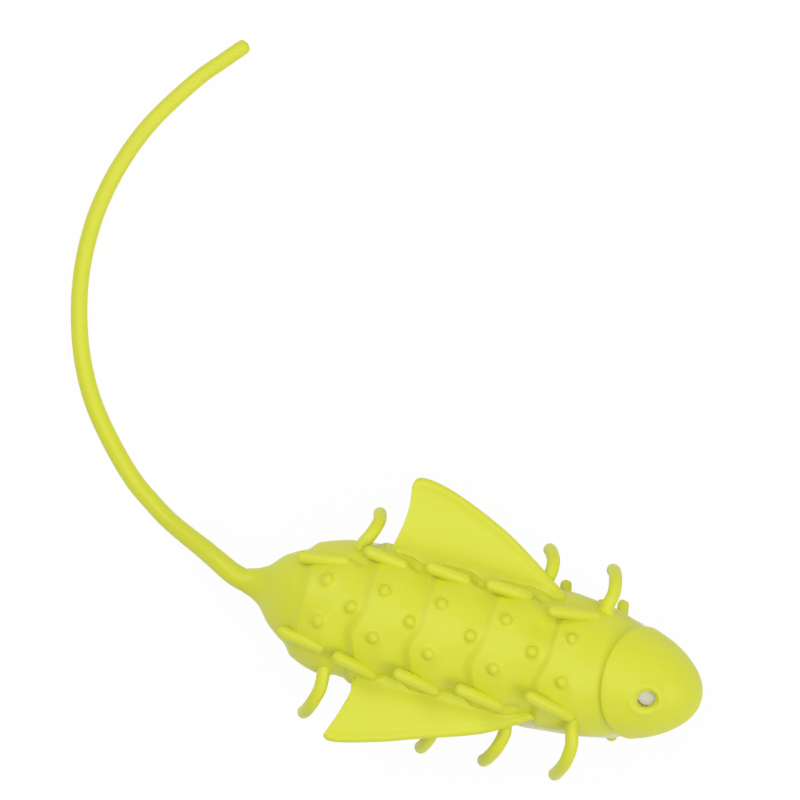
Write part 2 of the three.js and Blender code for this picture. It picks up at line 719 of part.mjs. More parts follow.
function contactPlate(x) {
  const low = bellyHeight + shellWall + fitGap;
  const outline = roundedRect(low, low + contactHeight, contactHalfWidth, doorCorner);
  return plate(outline, 0, contactThickness).rotate([0, -90, 0]).translate([x + contactThickness, 0, 0]);
}

class ConicalCoil extends THREE.Curve {
  constructor(radius, tipRadius, length, turns) {
    super();
    this.radius = radius;
    this.tipRadius = tipRadius;
    this.length = length;
    this.turns = turns;
  }

  getPoint(share, target = new THREE.Vector3()) {
    const angle = share * this.turns * 2 * Math.PI;
    const radius = this.radius + share * (this.tipRadius - this.radius);
    return target.set(share * this.length, radius * Math.cos(angle), radius * Math.sin(angle));
  }
}

function batterySpring() {
  const coil = new ConicalCoil(springRadius, springTipRadius, springLength, springTurns);
  const wire = tube(coil, springWire, leadSides, Math.round(springTurns * roundSides));
  return toSolid(wire.translate(springRear, 0, cellHeight));
}

// Belly door with finger grips, and the screws
function batteryDoor() {
  const recess = postZ(screwHeadRadius + fitGap, bellyHeight - cutOverrun, bellyHeight + screwHeadHeight + fitGap,
    doorScrewX, 0);
  const bore = postZ(screwShankRadius + fitGap, bellyHeight - cutOverrun, axisHeight, doorScrewX, 0);
  const grips = [];
  for (let grip = 0; grip < doorGripCount; grip += 1) {
    const x = doorRear + doorCorner + (2 * grip + 1) * doorGripWidth;
    grips.push(slab(x, x + doorGripWidth, doorHalfWidth / 2, bellyHeight - cutOverrun, bellyHeight + doorGripDepth));
  }
  return doorBody(0, 0).subtract(recess).subtract(bore).subtract(joined(grips));
}

function screw(x, y, length) {
  const headTop = bellyHeight + screwHeadHeight;
  const head = postZ(screwHeadRadius, bellyHeight, headTop, x, y);
  const shank = postZ(screwShankRadius, headTop, headTop + length, x, y, fingerSides);
  const slotDepth = bellyHeight + screwHeadHeight / 2;
  const slots = slab(x - screwHeadRadius / 2, x + screwHeadRadius / 2, screwSlot / 2, 0, slotDepth, y)
    .add(block(screwSlot, screwHeadRadius, 2 * slotDepth, x, y, 0));
  return head.add(shank).subtract(slots);
}

// Motor
function motorCase() {
  const can = rodX(motorRadius, motorRear, motorFront, 0, motorAxisHeight);
  const nose = rodX(motorNoseRadius, motorRear - motorNoseLength, motorRear, 0, motorAxisHeight);
  const bore = rodX(shaftRadius + fitGap, motorRear - cutOverrun, motorRear + shaftSeat + fitGap, 0, motorAxisHeight);
  return can.add(nose).subtract(bore);
}

function motorEndCap() {
  const low = motorFront + fitGap;
  return rodX(motorRadius - sleeveWall / 2, low, low + motorCapLength, 0, motorAxisHeight);
}

function motorShaft() {
  return rodX(shaftRadius, shaftRear, motorRear + shaftSeat, 0, motorAxisHeight, fingerSides);
}

function eccentricWeight() {
  const shape = new THREE.Shape();
  shape.absarc(0, 0, weightRadius, Math.PI, 2 * Math.PI, false);
  shape.absarc(0, 0, weightHub, 0, Math.PI, false);
  const bore = new THREE.Path();
  bore.absarc(0, 0, shaftRadius + fitGap, 0, 2 * Math.PI, true);
  shape.holes.push(bore);
  const flat = plate(shape, 0, weightLength, 0, bendSteps);
  return flat.rotate([90, 0, 90]).translate([shaftRear, 0, motorAxisHeight]);
}

function motorSleeve() {
  const middle = motorFront - motorLength / 2;
  const outer = rodX(motorRadius + fitGap + sleeveWall, middle - sleeveLength / 2, middle + sleeveLength / 2,
    0, motorAxisHeight);
  const inner = rodX(motorRadius + fitGap, middle - motorLength, middle + motorLength, 0, motorAxisHeight);
  return outer.subtract(inner);
}

// Leads
function lead(points) {
  const curve = new THREE.CatmullRomCurve3(points.map(([x, y, z]) => new THREE.Vector3(x, y, z)));
  return toSolid(tube(curve, leadRadius, leadSides, leadSteps * points.length));
}

const capMiddle = motorFront + fitGap + motorCapLength / 2;
const leadStart = motorRadius - sleeveWall / 2 + fitGap + leadRadius;

function redLead() {
  const boardRear = buttonX - boardLength / 2;
  return lead([
    [capMiddle, -leadStart, motorAxisHeight],
    [capMiddle + fitGap, -leadStart - motorRadius, motorAxisHeight + motorRadius],
    [capMiddle + cellRadius, -leadReach, leadHeight],
    [0, -leadReach, leadHeight],
    [cellFront - cellRadius, -leadReach + fitGap, leadHeight],
    [cellFront + contactThickness, -contactHalfWidth - 4 * fitGap, axisHeight + 2 * fitGap],
    [boardRear + leadRadius, -boardHalfWidth - fitGap, axisHeight],
  ]);
}

function blackLead() {
  return lead([
    [capMiddle, leadStart, motorAxisHeight],
    [capMiddle - fitGap, contactHalfWidth + leadRadius, motorAxisHeight + leadRadius],
    [capMiddle + fitGap, contactHalfWidth + 3 * leadRadius, motorAxisHeight + 3 * leadRadius],
    [rearPlateX, contactHalfWidth + fitGap + leadRadius, motorAxisHeight + 5 * leadRadius],
  ]);
}

// Tail
function tail() {
  const curve = new THREE.CatmullRomCurve3(tailRoute.map(([x, y, z]) => new THREE.Vector3(x, y, z)));
  return toSolid(tube(curve, tailRadius, tailSides, tailSteps));
}

// The finished toy
const toy = new THREE.Group();

function place(name, solid, material) {
  const mesh = new THREE.Mesh(toGeometry(solid), material);
  mesh.name = name;
  toy.add(mesh);
}

place('skin', skin(), skinFinish());
place('tail', tail(), skinFinish());
place('upper_shell', upperShell(), shellFinish());
place('lower_shell', lowerShell(), shellFinish());
place('leg_strip_left', legStrip(), skinFinish());
place('leg_strip_right', rightSide(legStrip()), skinFinish());
place('power_button', powerButton(), finish(0xe6e4da, 0.45, 0));
place('switch_plunger', switchPlunger(), finish(0x2b2b2b, 0.5, 0));
place('switch_body', switchBody(), finish(0x1f2022, 0.5, 0));
place('circuit_board', circuitBoard(), finish(0x1e6b3c, 0.5, 0));
place('battery_cell', batteryCell(), finish(0x3a3f45, 0.35, 0.2));
place('contact_plate_front', contactPlate(frontPlateX), steelFinish());
place('contact_plate_rear', contactPlate(rearPlateX), steelFinish());
place('battery_spring', batterySpring(), steelFinish());
place('battery_door', batteryDoor(), shellFinish());
place('door_screw', screw(doorScrewX, 0, doorScrewLength), steelFinish());
screwPlaces.forEach(({ name, x, y }) => place(name, screw(x, y, shellScrewLength), steelFinish()));
place('motor_case', motorCase(), steelFinish());
place('motor_end_cap', motorEndCap(), finish(0xe9e7df, 0.5, 0));
place('motor_sleeve', motorSleeve(), finish(0x2a2a2a, 0.8, 0));
place('motor_shaft', motorShaft(), steelFinish());
place('eccentric_weight', eccentricWeight(), finish(0x8d8f92, 0.35, 1));
place('motor_lead_red', redLead(), finish(0xc22b22, 0.5, 0));
place('motor_lead_black', blackLead(), finish(0x202020, 0.5, 0));

export default toy;
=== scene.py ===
"""Vibrating bug cat toy.

A slip-on rubber skin with rings, wings, spines, side legs and a long tail covers a white plastic capsule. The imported
frame gives the rigid pieces, and this script dresses them and makes the rubber ones.
"""

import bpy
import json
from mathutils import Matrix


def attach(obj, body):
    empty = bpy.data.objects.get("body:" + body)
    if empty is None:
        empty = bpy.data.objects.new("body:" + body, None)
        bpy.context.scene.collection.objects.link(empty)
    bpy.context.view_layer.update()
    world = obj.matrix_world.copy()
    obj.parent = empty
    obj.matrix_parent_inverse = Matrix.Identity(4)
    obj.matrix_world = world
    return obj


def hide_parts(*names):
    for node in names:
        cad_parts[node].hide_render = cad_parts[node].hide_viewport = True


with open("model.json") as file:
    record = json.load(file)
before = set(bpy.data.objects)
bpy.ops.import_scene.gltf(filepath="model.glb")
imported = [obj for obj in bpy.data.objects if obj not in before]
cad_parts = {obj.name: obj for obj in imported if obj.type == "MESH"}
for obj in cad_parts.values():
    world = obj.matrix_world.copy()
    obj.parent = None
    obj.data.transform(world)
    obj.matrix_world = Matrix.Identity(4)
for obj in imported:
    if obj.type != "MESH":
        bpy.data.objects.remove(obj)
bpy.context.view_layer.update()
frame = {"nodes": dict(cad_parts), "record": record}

import json
import logging
import math
from collections.abc import Sequence
from dataclasses import dataclass, field
from enum import Enum

import bmesh
import bpy
import numpy as np
from mathutils import Vector

LOG = logging.getLogger("bug_toy")
MM = 0.001
TAU = 2.0 * math.pi
Array = np.ndarray
Socket = bpy.types.NodeSocket


# Curves and falloffs

def smooth(value: Array | float) -> Array:
    """Smooth ramp: 3 t^2 - 2 t^3 of the value held between 0 and 1."""
    t = np.clip(value, 0.0, 1.0)
    return t * t * (3.0 - 2.0 * t)


def bell(distance: Array, width: float) -> Array:
    """Bell of height 1: exp(-(distance / width)^2)."""
    return np.exp(-((distance / width) ** 2))


def through(points: Sequence[Sequence[float]], count: int) -> Array:
    """A smooth curve through points, at equal steps of its length.

    Catmull-Rom: between two points each coordinate is the cubic whose slope at a point is half the step between
    that point's neighbours. The dense curve is then read at equal arc lengths.

    Args:
        points: the points, two or three numbers each.
        count: how many places to return.

    Returns:
        The places as an array of shape (count, dimensions).
    """
    knots = np.asarray(points, dtype=float)
    ends = np.vstack([2 * knots[0] - knots[1], knots, 2 * knots[-1] - knots[-2]])
    t = np.linspace(0.0, 1.0, 24, endpoint=False)[None, :, None]
    a, b, c, d = (ends[k : k + len(knots) - 1][:, None, :] for k in range(4))
    dense = 0.5 * (2 * b + (c - a) * t + (2 * a - 5 * b + 4 * c - d) * t**2 + (3 * b - a - 3 * c + d) * t**3)
    dense = np.vstack([dense.reshape(-1, knots.shape[1]), knots[-1:]])
    run = np.concatenate([[0.0], np.cumsum(np.linalg.norm(np.diff(dense, axis=0), axis=1))])
    wanted = np.linspace(0.0, run[-1], count)
    return np.column_stack([np.interp(wanted, run, dense[:, k]) for k in range(dense.shape[1])])


def length_of(points: Array) -> float:
    """Length of the line through points."""
    return float(np.linalg.norm(np.diff(points, axis=0), axis=1).sum())


# Meshes

def grid_faces(rows: int, columns: int, wrap: bool) -> list[tuple[int, int, int, int]]:
    """Quads of a grid of rows x columns points, row by row.

    Args:
        rows: number of rows.
        columns: number of points in a row.
        wrap: whether the last column joins the first.

    Returns:
        The quads, as tuples of four point numbers.
    """
    row = np.arange(rows - 1)[:, None]
    column = np.arange(columns if wrap else columns - 1)[None, :]
    beside = (column + 1) % columns
    quads = np.stack(
        [row * columns + column, row * columns + beside, (row + 1) * columns + beside, (row + 1) * columns + column],
        axis=-1,
    )
    return quads.reshape(-1, 4).tolist()


@dataclass
class Surface:
    """Points in millimetres and faces that several shapes can share."""

    points: list[Array] = field(default_factory=list)
    faces: list[tuple[int, ...]] = field(default_factory=list)
    total: int = 0

    def add(self, points: Array, faces: Sequence[Sequence[int]]) -> None:
        """Adds one shape.

        Args:
            points: its points.
            faces: its faces, as numbers of its points.
        """
        self.faces.extend(tuple(number + self.total for number in face) for face in faces)
        self.points.append(points.reshape(-1, 3))
        self.total += len(self.points[-1])

    def add_tube(self, rings: Array) -> None:
        """Adds rings of points as a closed tube: quads between rings, and one face over each end.

        Args:
            rings: array of shape (rings, points in a ring, 3).
        """
        count, sides = rings.shape[:2]
        caps = [tuple(range(sides))[::-1], tuple(range((count - 1) * sides, count * sides))]
        self.add(rings, grid_faces(count, sides, True) + caps)

    def made(self, name: str, sharp: float = 40.0) -> bpy.types.Object:
        """Makes the object, in metres, with its doubles merged and its faces outwards.

        Args:
            name: the piece's name.
            sharp: angle in degrees past which an edge stays sharp.

        Returns:
            The new object.
        """
        mesh = bpy.data.meshes.new(name)
        mesh.from_pydata((np.vstack(self.points) * MM).tolist(), [], self.faces)
        tidy(mesh)
        finish_shading(mesh, sharp)
        piece = bpy.data.objects.new(name, mesh)
        bpy.context.scene.collection.objects.link(piece)
        return piece


def tidy(mesh: bpy.types.Mesh, gap: float = 1e-7) -> None:
    """Merges a mesh's doubles and turns its faces outwards.

    Args:
        mesh: the mesh to change.
        gap: distance in metres under which points are one.
    """
    work = bmesh.new()
    work.from_mesh(mesh)
    bmesh.ops.remove_doubles(work, verts=work.verts, dist=gap)
    bmesh.ops.dissolve_degenerate(work, edges=work.edges, dist=gap)
    bmesh.ops.recalc_face_normals(work, faces=work.faces)
    work.to_mesh(mesh)
    work.free()


def finish_shading(mesh: bpy.types.Mesh, sharp: float) -> None:
    """Shades a mesh smooth up to an angle in degrees."""
    mesh.shade_smooth()
    mesh.set_sharp_from_angle(angle=math.radians(sharp))


def carved(target: bpy.types.Object, tool: bpy.types.Object) -> None:
    """Cuts a tool out of an object and deletes the tool.

    Args:
        target: the object to change.
        tool: the solid to take away.
    """
    change = target.modifiers.new("cut", "BOOLEAN")
    change.operation = "DIFFERENCE"
    change.solver = "MANIFOLD"
    change.object = tool
    bpy.context.view_layer.update()
    depsgraph = bpy.context.evaluated_depsgraph_get()
    result = bpy.data.meshes.new_from_object(target.evaluated_get(depsgraph))
    target.modifiers.remove(change)
    target.data = result
    bpy.data.objects.remove(tool)


# The skin's outline, shared by all that grows on it

@dataclass(frozen=True)
class Spot:
    """Where a small pit lies on the skin, in plan, and how wide and deep it is."""

    x: float
    y: float
    width: float
    depth: float


@dataclass(frozen=True)
class Outline:
    """The skin's outline: a radius for each share of the length behind the nose, as on the solid."""

    length: float = 85.6
    radius: float = 13.0
    axis: float = 16.5
    shares: tuple[tuple[float, float], ...] = (
        (0.0075, 0), (0.0087, 0.086), (0.011, 0.148), (0.0157, 0.2255), (0.0215, 0.293), (0.0332, 0.392),
        (0.0546, 0.519), (0.0756, 0.613), (0.0966, 0.687), (0.1176, 0.741), (0.1387, 0.79), (0.1597, 0.831),
        (0.1807, 0.866), (0.2227, 0.914), (0.2857, 0.97), (0.3487, 0.997), (0.5168, 1), (0.7269, 0.995),
        (0.7689, 0.965), (0.8109, 0.895), (0.8529, 0.803), (0.895, 0.679), (0.916, 0.561), (0.937, 0.429),
        (0.958, 0.284), (0.979, 0.208), (1, 0.166),
    )
    grooves: tuple[float, ...] = (0.1414, 0.3571, 0.5, 0.6345, 0.7584, 0.8887)
    slant: float = 0.634
    roll: float = math.radians(-1.7)
    drop: float = 3.5
    drop_start: float = 0.88
    sway: float = -1.35
    sway_x: float = -29.0
    sway_width: float = 8.0
    sway_span: float = 18.0
    steepest: float = 0.98

    def share(self, x: Array | float) -> Array:
        """Share of the length behind the nose at x."""
        return 0.5 - np.asarray(x) / self.length

    def x(self, share: Array | float) -> Array:
        """Place along the body of a share."""
        return self.length / 2 - np.asarray(share) * self.length

    def radius_at(self, share: Array | float) -> Array:
        """Radius at a share, read from the smooth outline."""
        curve = through(self.shares, 1200)
        return np.interp(share, curve[:, 0], curve[:, 1]) * self.radius

    def slant_at(self, share: Array) -> Array:
        """How far a row leans back for each millimetre above the axis: most at the head seam, none at the collar."""
        seam, collar = self.grooves[0], self.grooves[1]
        return self.slant * np.where(share >= seam, smooth((collar - share) / (collar - seam)), smooth(share / seam))

    def drop_at(self, share: Array) -> Array:
        """How far the tail cone has sunk below the body's axis."""
        return self.drop * smooth((share - self.drop_start) / (1 - self.drop_start))

    def sway_at(self, x: Array | float, y: Array | float) -> Array:
        """How far the soft body has bulged to its right at x and y: all of it on the right side, none on the left."""
        side = smooth(0.5 - np.asarray(y) / self.sway_span)
        return self.sway * bell(np.asarray(x) - self.sway_x, self.sway_width) * side

    def place(self, share: Array, angle: Array, rise: Array | float = 0.0, leans: bool = True) -> Array:
        """Points at a share, an angle from the top towards the left side, and a height above the outline.

        A row that leans back is cut from the same outline, so each of its points takes the radius at the place that
        it leans to: x = x(share) - slant * radius(x) * cos(angle + roll), found by eight turns of that formula.

        Args:
            share: share of the length behind the nose.
            angle: angle from the top, positive to the left.
            rise: height above the outline.
            leans: whether the rows lean as the head seam does.

        Returns:
            The points, with the three coordinates last.
        """
        slant = self.slant_at(share) * (1.0 if leans else 0.0)
        radius = np.maximum(self.radius_at(share) + rise, 0.0)
        x = self.x(share)
        for _ in range(8):
            x = self.x(share) - slant * radius * np.cos(angle + self.roll)
            radius = np.maximum(self.radius_at(self.share(x)) + rise, 0.0)
        height, y = self.axis - self.drop_at(self.share(x)), radius * np.sin(angle)
        return np.stack([x, y + self.sway_at(x, y), height + radius * np.cos(angle)], axis=-1)

    def top(self, x: float, y: float, above: float = 0.0) -> Array:
        """The point on the skin's upper side above x and y, or that far above it."""
        return self.place(self.share(x), self.angle(x, y), above, leans=False)

    def angle(self, x: float, y: float) -> Array:
        """Angle from the top of the point above x and y, with the sway there taken off by five turns.

        Args:
            x: place along the body.
            y: distance from the middle, positive to the left.

        Returns:
            The angle: arcsin(y without the sway / radius), held short of the side.
        """
        plain = y
        for _ in range(5):
            plain = y - self.sway_at(x, plain)
        return np.arcsin(np.clip(plain / self.radius_at(self.share(x)), -self.steepest, self.steepest))

    def row(self, x: Array, angle: Array) -> Array:
        """The leaning row that passes through x at an angle, found by thirty turns.

        Args:
            x: places along the body.
            angle: angles from the top.

        Returns:
            The rows' shares of the length.
        """
        share = self.share(x)
        for _ in range(30):
            share = share + (self.place(share, angle)[..., 0] - x) / self.length
        return share


# Materials

@dataclass(frozen=True)
class Finish:
    """One procedural finish: its colours, gloss and grain."""

    name: str
    colour: tuple[float, float, float]
    deep: tuple[float, float, float]
    roughness: float = 0.5
    roughness_spread: float = 0.08
    metallic: float = 0.0
    grain: float = 600.0
    bump: float = 0.1
    tone: float = 60.0
    stretch: tuple[float, float, float] = (1.0, 1.0, 1.0)

    def linear(self, colour: tuple[float, float, float]) -> tuple[float, float, float, float]:
        """An sRGB colour as the linear one that a shader takes."""
        low = [c / 12.92 if c <= 0.04045 else ((c + 0.055) / 1.055) ** 2.4 for c in colour]
        return (*low, 1.0)


def grain_group() -> bpy.types.NodeTree:
    """Makes the shared surface group: a fine grain for the bump, and broad soft patches for colour and gloss.

    Returns:
        The group, with the inputs Vector, Grain and Tone and the outputs Height, Patch and Speckle.
    """
    group = bpy.data.node_groups.new("moulded_surface", "ShaderNodeTree")
    face = group.interface
    for name, kind, value in (("Vector", "Vector", None), ("Grain", "Float", 600.0), ("Tone", "Float", 60.0)):
        socket = face.new_socket(name=name, in_out="INPUT", socket_type=f"NodeSocket{kind}")
        if value is not None:
            socket.default_value = value
    for name in ("Height", "Patch", "Speckle"):
        face.new_socket(name=name, in_out="OUTPUT", socket_type="NodeSocketFloat")
    nodes, links = group.nodes, group.links
    entry, leave = nodes.new("NodeGroupInput"), nodes.new("NodeGroupOutput")
    fine, broad, fleck = (nodes.new("ShaderNodeTexNoise") for _ in range(3))
    for node, scale, detail in ((fine, "Grain", 3.0), (broad, "Tone", 2.0), (fleck, "Grain", 1.0)):
        node.inputs["Detail"].default_value = detail
        links.new(entry.outputs["Vector"], node.inputs["Vector"])
        links.new(entry.outputs[scale], node.inputs["Scale"])
    curve = nodes.new("ShaderNodeMapRange")
    curve.inputs["From Min"].default_value = 0.35
    curve.inputs["From Max"].default_value = 0.65
    links.new(broad.outputs["Fac"], curve.inputs["Value"])
    links.new(fine.outputs["Fac"], leave.inputs["Height"])
    links.new(curve.outputs["Result"], leave.inputs["Patch"])
    links.new(fleck.outputs["Fac"], leave.inputs["Speckle"])
    return group


def dressed(finish: Finish, group: bpy.types.NodeTree) -> bpy.types.Material:
    """Makes a finish's material: two near colours in soft patches, uneven gloss and a fine moulded grain.

    Args:
        finish: the finish.
        group: the shared surface group.

    Returns:
        The new material.
    """
    material = bpy.data.materials.new(finish.name)
    material.use_nodes = True
    nodes, links = material.node_tree.nodes, material.node_tree.links
    shader = nodes["Principled BSDF"]
    place, stretch = nodes.new("ShaderNodeTexCoord"), nodes.new("ShaderNodeMapping")
    surface = nodes.new("ShaderNodeGroup")
    surface.node_tree = group
    stretch.inputs["Scale"].default_value = finish.stretch
    surface.inputs["Grain"].default_value = finish.grain
    surface.inputs["Tone"].default_value = finish.tone
    links.new(place.outputs["Object"], stretch.inputs["Vector"])
    links.new(stretch.outputs["Vector"], surface.inputs["Vector"])
    colours = nodes.new("ShaderNodeMix")
    colours.data_type = "RGBA"
    colours.inputs["A"].default_value = finish.linear(finish.colour)
    colours.inputs["B"].default_value = finish.linear(finish.deep)
    links.new(surface.outputs["Patch"], colours.inputs["Factor"])
    links.new(colours.outputs["Result"], shader.inputs["Base Color"])
    gloss = nodes.new("ShaderNodeMapRange")
    gloss.inputs["To Min"].default_value = finish.roughness - finish.roughness_spread
    gloss.inputs["To Max"].default_value = finish.roughness + finish.roughness_spread
    links.new(surface.outputs["Speckle"], gloss.inputs["Value"])
    links.new(gloss.outputs["Result"], shader.inputs["Roughness"])
    bump = nodes.new("ShaderNodeBump")
    bump.inputs["Strength"].default_value = finish.bump
    bump.inputs["Distance"].default_value = 0.1 * MM
    links.new(surface.outputs["Height"], bump.inputs["Height"])
    links.new(bump.outputs["Normal"], shader.inputs["Normal"])
    shader.inputs["Metallic"].default_value = finish.metallic
    return material


class Slot(Enum):
    """The record's material slots, each with its finish."""

    SKIN = Finish("skin_rubber", (0.848, 0.864, 0.19), (0.838, 0.856, 0.175), 0.46, 0.05, grain=900.0, bump=0.06,
                  tone=45.0)
    SHELL = Finish("white_shell", (0.93, 0.93, 0.9), (0.915, 0.915, 0.885), 0.42, 0.05, grain=1500.0, bump=0.06)
    BUTTON = Finish("button_plastic", (0.985, 0.975, 0.95), (0.975, 0.965, 0.94), 0.45, 0.06, grain=1500.0, bump=0.06,
                    tone=300.0)
    DARK = Finish("dark_plastic", (0.13, 0.13, 0.14), (0.11, 0.11, 0.12), 0.5, 0.06, grain=1800.0)
    BOARD = Finish("board", (0.12, 0.42, 0.24), (0.1, 0.37, 0.2), 0.35, 0.08, grain=900.0, tone=500.0)
    CELL = Finish("cell_jacket", (0.24, 0.26, 0.29), (0.21, 0.23, 0.26), 0.3, 0.05, grain=800.0, bump=0.03)
    CONTACT = Finish("contact_steel", (0.75, 0.75, 0.74), (0.7, 0.7, 0.69), 0.3, 0.1, 1.0, grain=2500.0,
                     stretch=(0.1, 1.0, 1.0))
    SCREW = Finish("screw_steel", (0.7, 0.71, 0.73), (0.63, 0.64, 0.67), 0.32, 0.1, 1.0, grain=3000.0)
    MOTOR = Finish("motor_steel", (0.62, 0.63, 0.65), (0.56, 0.57, 0.59), 0.33, 0.1, 1.0, grain=2500.0,
                   stretch=(0.08, 1.0, 1.0))
    BLACK = Finish("black_rubber", (0.13, 0.13, 0.13), (0.1, 0.1, 0.1), 0.7, 0.08, grain=1500.0)
    RED = Finish("red_lead", (0.76, 0.17, 0.13), (0.7, 0.14, 0.11), 0.4, 0.05, grain=1200.0, tone=200.0)


class Wardrobe:
    """Makes each finish once and puts it on pieces and kept solids."""

    def __init__(self) -> None:
        """Makes the materials."""
        group = grain_group()
        self.materials = {slot.value.name: dressed(slot.value, group) for slot in Slot}

    def dress(self, piece: bpy.types.Object, slot: Slot) -> None:
        """Gives a new piece its material.

        Args:
            piece: the new piece.
            slot: its finish.
        """
        piece.data.materials.clear()
        piece.data.materials.append(self.materials[slot.value.name])

    def dress_kept(self, replaced: set[str]) -> None:
        """Gives every kept solid the material of its slot in the record.

        Args:
            replaced: the solids that new pieces stand for.
        """
        for part in frame["record"]["subparts"]:
            if part["node"] in replaced:
                continue
            for holder in frame["nodes"][part["node"]].material_slots:
                holder.material = self.materials[part["material_slot"]]
            LOG.info("kept %s in %s", part["node"], part["material_slot"])


# Camera, light and floor

@dataclass(frozen=True)
class Lamp:
    """A square soft lamp: its name, its place and side in metres, and its power in watts."""

    name: str
    place: tuple[float, float, float]
    size: float
    watts: float


@dataclass
class Studio:
    """The photograph's camera, soft lamps, and a pale floor."""

    centre: tuple[float, float, float] = (-24.04, 38.4, 14.0)
    view_width: float = 144.0
    distance: float = 3000.0
    turn: float = math.radians(14.77)
    tilt: float = math.radians(1.5)
    lamps: tuple[Lamp, ...] = (
        Lamp("overhead", (0.0, 0.05, 1.9), 1.6, 12.6), Lamp("side", (-1.0, 0.65, 1.1), 0.4, 4.8),
        Lamp("front", (1.2, -0.35, 1.0), 0.8, 6.6),
    )
    world_light: float = 0.45
    floor_half: float = 3000.0
    floor_white: float = 0.96

    def camera(self) -> None:
        """Sets the camera over the toy: a long lens, turned about the vertical and tilted a little to the near side."""
        data = bpy.data.cameras.new("camera")
        data.sensor_width = 36.0
        data.lens = data.sensor_width * self.distance / self.view_width
        data.clip_end = 20.0
        data.clip_start = 0.05
        camera = bpy.data.objects.new("camera", data)
        bpy.context.scene.collection.objects.link(camera)
        camera.rotation_euler = (self.tilt, 0.0, self.turn)
        back = self.distance * math.sin(self.tilt)
        camera.location = (
            (self.centre[0] + back * math.sin(self.turn)) * MM,
            (self.centre[1] - back * math.cos(self.turn)) * MM,
            (self.centre[2] + self.distance * math.cos(self.tilt)) * MM,
        )
        bpy.context.scene.camera = camera

    def hang(self, lamp: Lamp) -> None:
        """Adds a lamp aimed at the toy.

        Args:
            lamp: the lamp to add.
        """
        data = bpy.data.lights.new(lamp.name, "AREA")
        data.shape = "SQUARE"
        data.size = lamp.size
        data.energy = lamp.watts
        holder = bpy.data.objects.new(lamp.name, data)
        holder.location = lamp.place
        aim = Vector((self.centre[0] * MM, self.centre[1] * MM, 0.0)) - Vector(lamp.place)
        holder.rotation_euler = aim.to_track_quat("-Z", "Y").to_euler()
        bpy.context.scene.collection.objects.link(holder)

    def lights(self) -> None:
        """Adds the lamps and the world: a soft light on the toy, and plain white where the camera looks past it."""
        for lamp in self.lamps:
            self.hang(lamp)
        world = bpy.data.worlds.new("world")
        world.use_nodes = True
        nodes = world.node_tree.nodes
        light, white = nodes["Background"], nodes.new("ShaderNodeBackground")
        light.inputs["Color"].default_value = (1.0, 1.0, 1.0, 1.0)
        light.inputs["Strength"].default_value = self.world_light
        white.inputs["Strength"].default_value = 1.0
        mix_for_eye(world.node_tree, light.outputs["Background"], white.outputs["Background"], 1.0)
        bpy.context.scene.world = world

    def floor(self) -> None:
        """Adds the plain floor: white to the camera, with the toy's soft shadow kept faint."""
        sheet = Surface()
        half = self.floor_half
        sheet.add(np.array([[-half, -half, 0], [half, -half, 0], [half, half, 0], [-half, half, 0]], float),
                  [(0, 1, 2, 3)])
        floor = sheet.made("floor")
        material = bpy.data.materials.new("floor")
        material.use_nodes = True
        nodes = material.node_tree.nodes
        shader, glow = nodes["Principled BSDF"], nodes.new("ShaderNodeEmission")
        shader.inputs["Base Color"].default_value = (0.9, 0.9, 0.9, 1.0)
        shader.inputs["Roughness"].default_value = 0.9
        shader.inputs["Specular IOR Level"].default_value = 0.1
        glow.inputs["Strength"].default_value = 1.0
        mix_for_eye(material.node_tree, shader.outputs["BSDF"], glow.outputs["Emission"], self.floor_white)
        floor.data.materials.append(material)


def mix_for_eye(tree: bpy.types.NodeTree, lit: Socket, white: Socket, share: float) -> None:
    """Shows a white shader to the camera, in gloss and in glass, and another one to all other rays.

    The mix is share times the largest of Light Path's camera, glossy and transmission rays.

    Args:
        tree: the nodes of the material or world.
        lit: the output of the shader for the other rays.
        white: the output of the white shader.
        share: how much of the white shader shows.
    """
    nodes = tree.nodes
    path, mix = nodes.new("ShaderNodeLightPath"), nodes.new("ShaderNodeMixShader")
    first, second, scaled = (nodes.new("ShaderNodeMath") for _ in range(3))
    first.operation = second.operation = "MAXIMUM"
    scaled.operation = "MULTIPLY"
    scaled.inputs[1].default_value = share
    leave = next(node for node in nodes if node.type.startswith("OUTPUT"))
    for output, entry in (
        (path.outputs["Is Camera Ray"], first.inputs[0]), (path.outputs["Is Glossy Ray"], first.inputs[1]),
        (first.outputs["Value"], second.inputs[0]), (path.outputs["Is Transmission Ray"], second.inputs[1]),
        (second.outputs["Value"], scaled.inputs[0]), (scaled.outputs["Value"], mix.inputs["Fac"]),
        (lit, mix.inputs[1]), (white, mix.inputs[2]), (mix.outputs["Shader"], leave.inputs["Surface"]),
    ):
        tree.links.new(output, entry)


# Soft fingers: the sweep that spines, legs and the tail share

def swept(centre: Array, radius: Array, sides: int, up: tuple[float, float, float]) -> Array:
    """Rings of points round a line.

    Ring k is centre[k] + radius[k] (cos a * across + sin a * over), where across is square to the line and to up,
    and over is square to both.

    Args:
        centre: the line's points.
        radius: a radius for each point.
        sides: points in a ring.
        up: a direction that the line never follows.

    Returns:
        The rings, of shape (points, sides, 3).
    """
    along = np.gradient(centre, axis=0)
    along /= np.linalg.norm(along, axis=1, keepdims=True)
    across = np.cross(along, np.asarray(up, float))
    across /= np.linalg.norm(across, axis=1, keepdims=True)
    over = np.cross(across, along)
    angle = np.arange(sides) * TAU / sides
    circle = np.cos(angle)[None, :, None] * across[:, None, :] + np.sin(angle)[None, :, None] * over[:, None, :]
    return centre[:, None, :] + radius[:, None, None] * circle


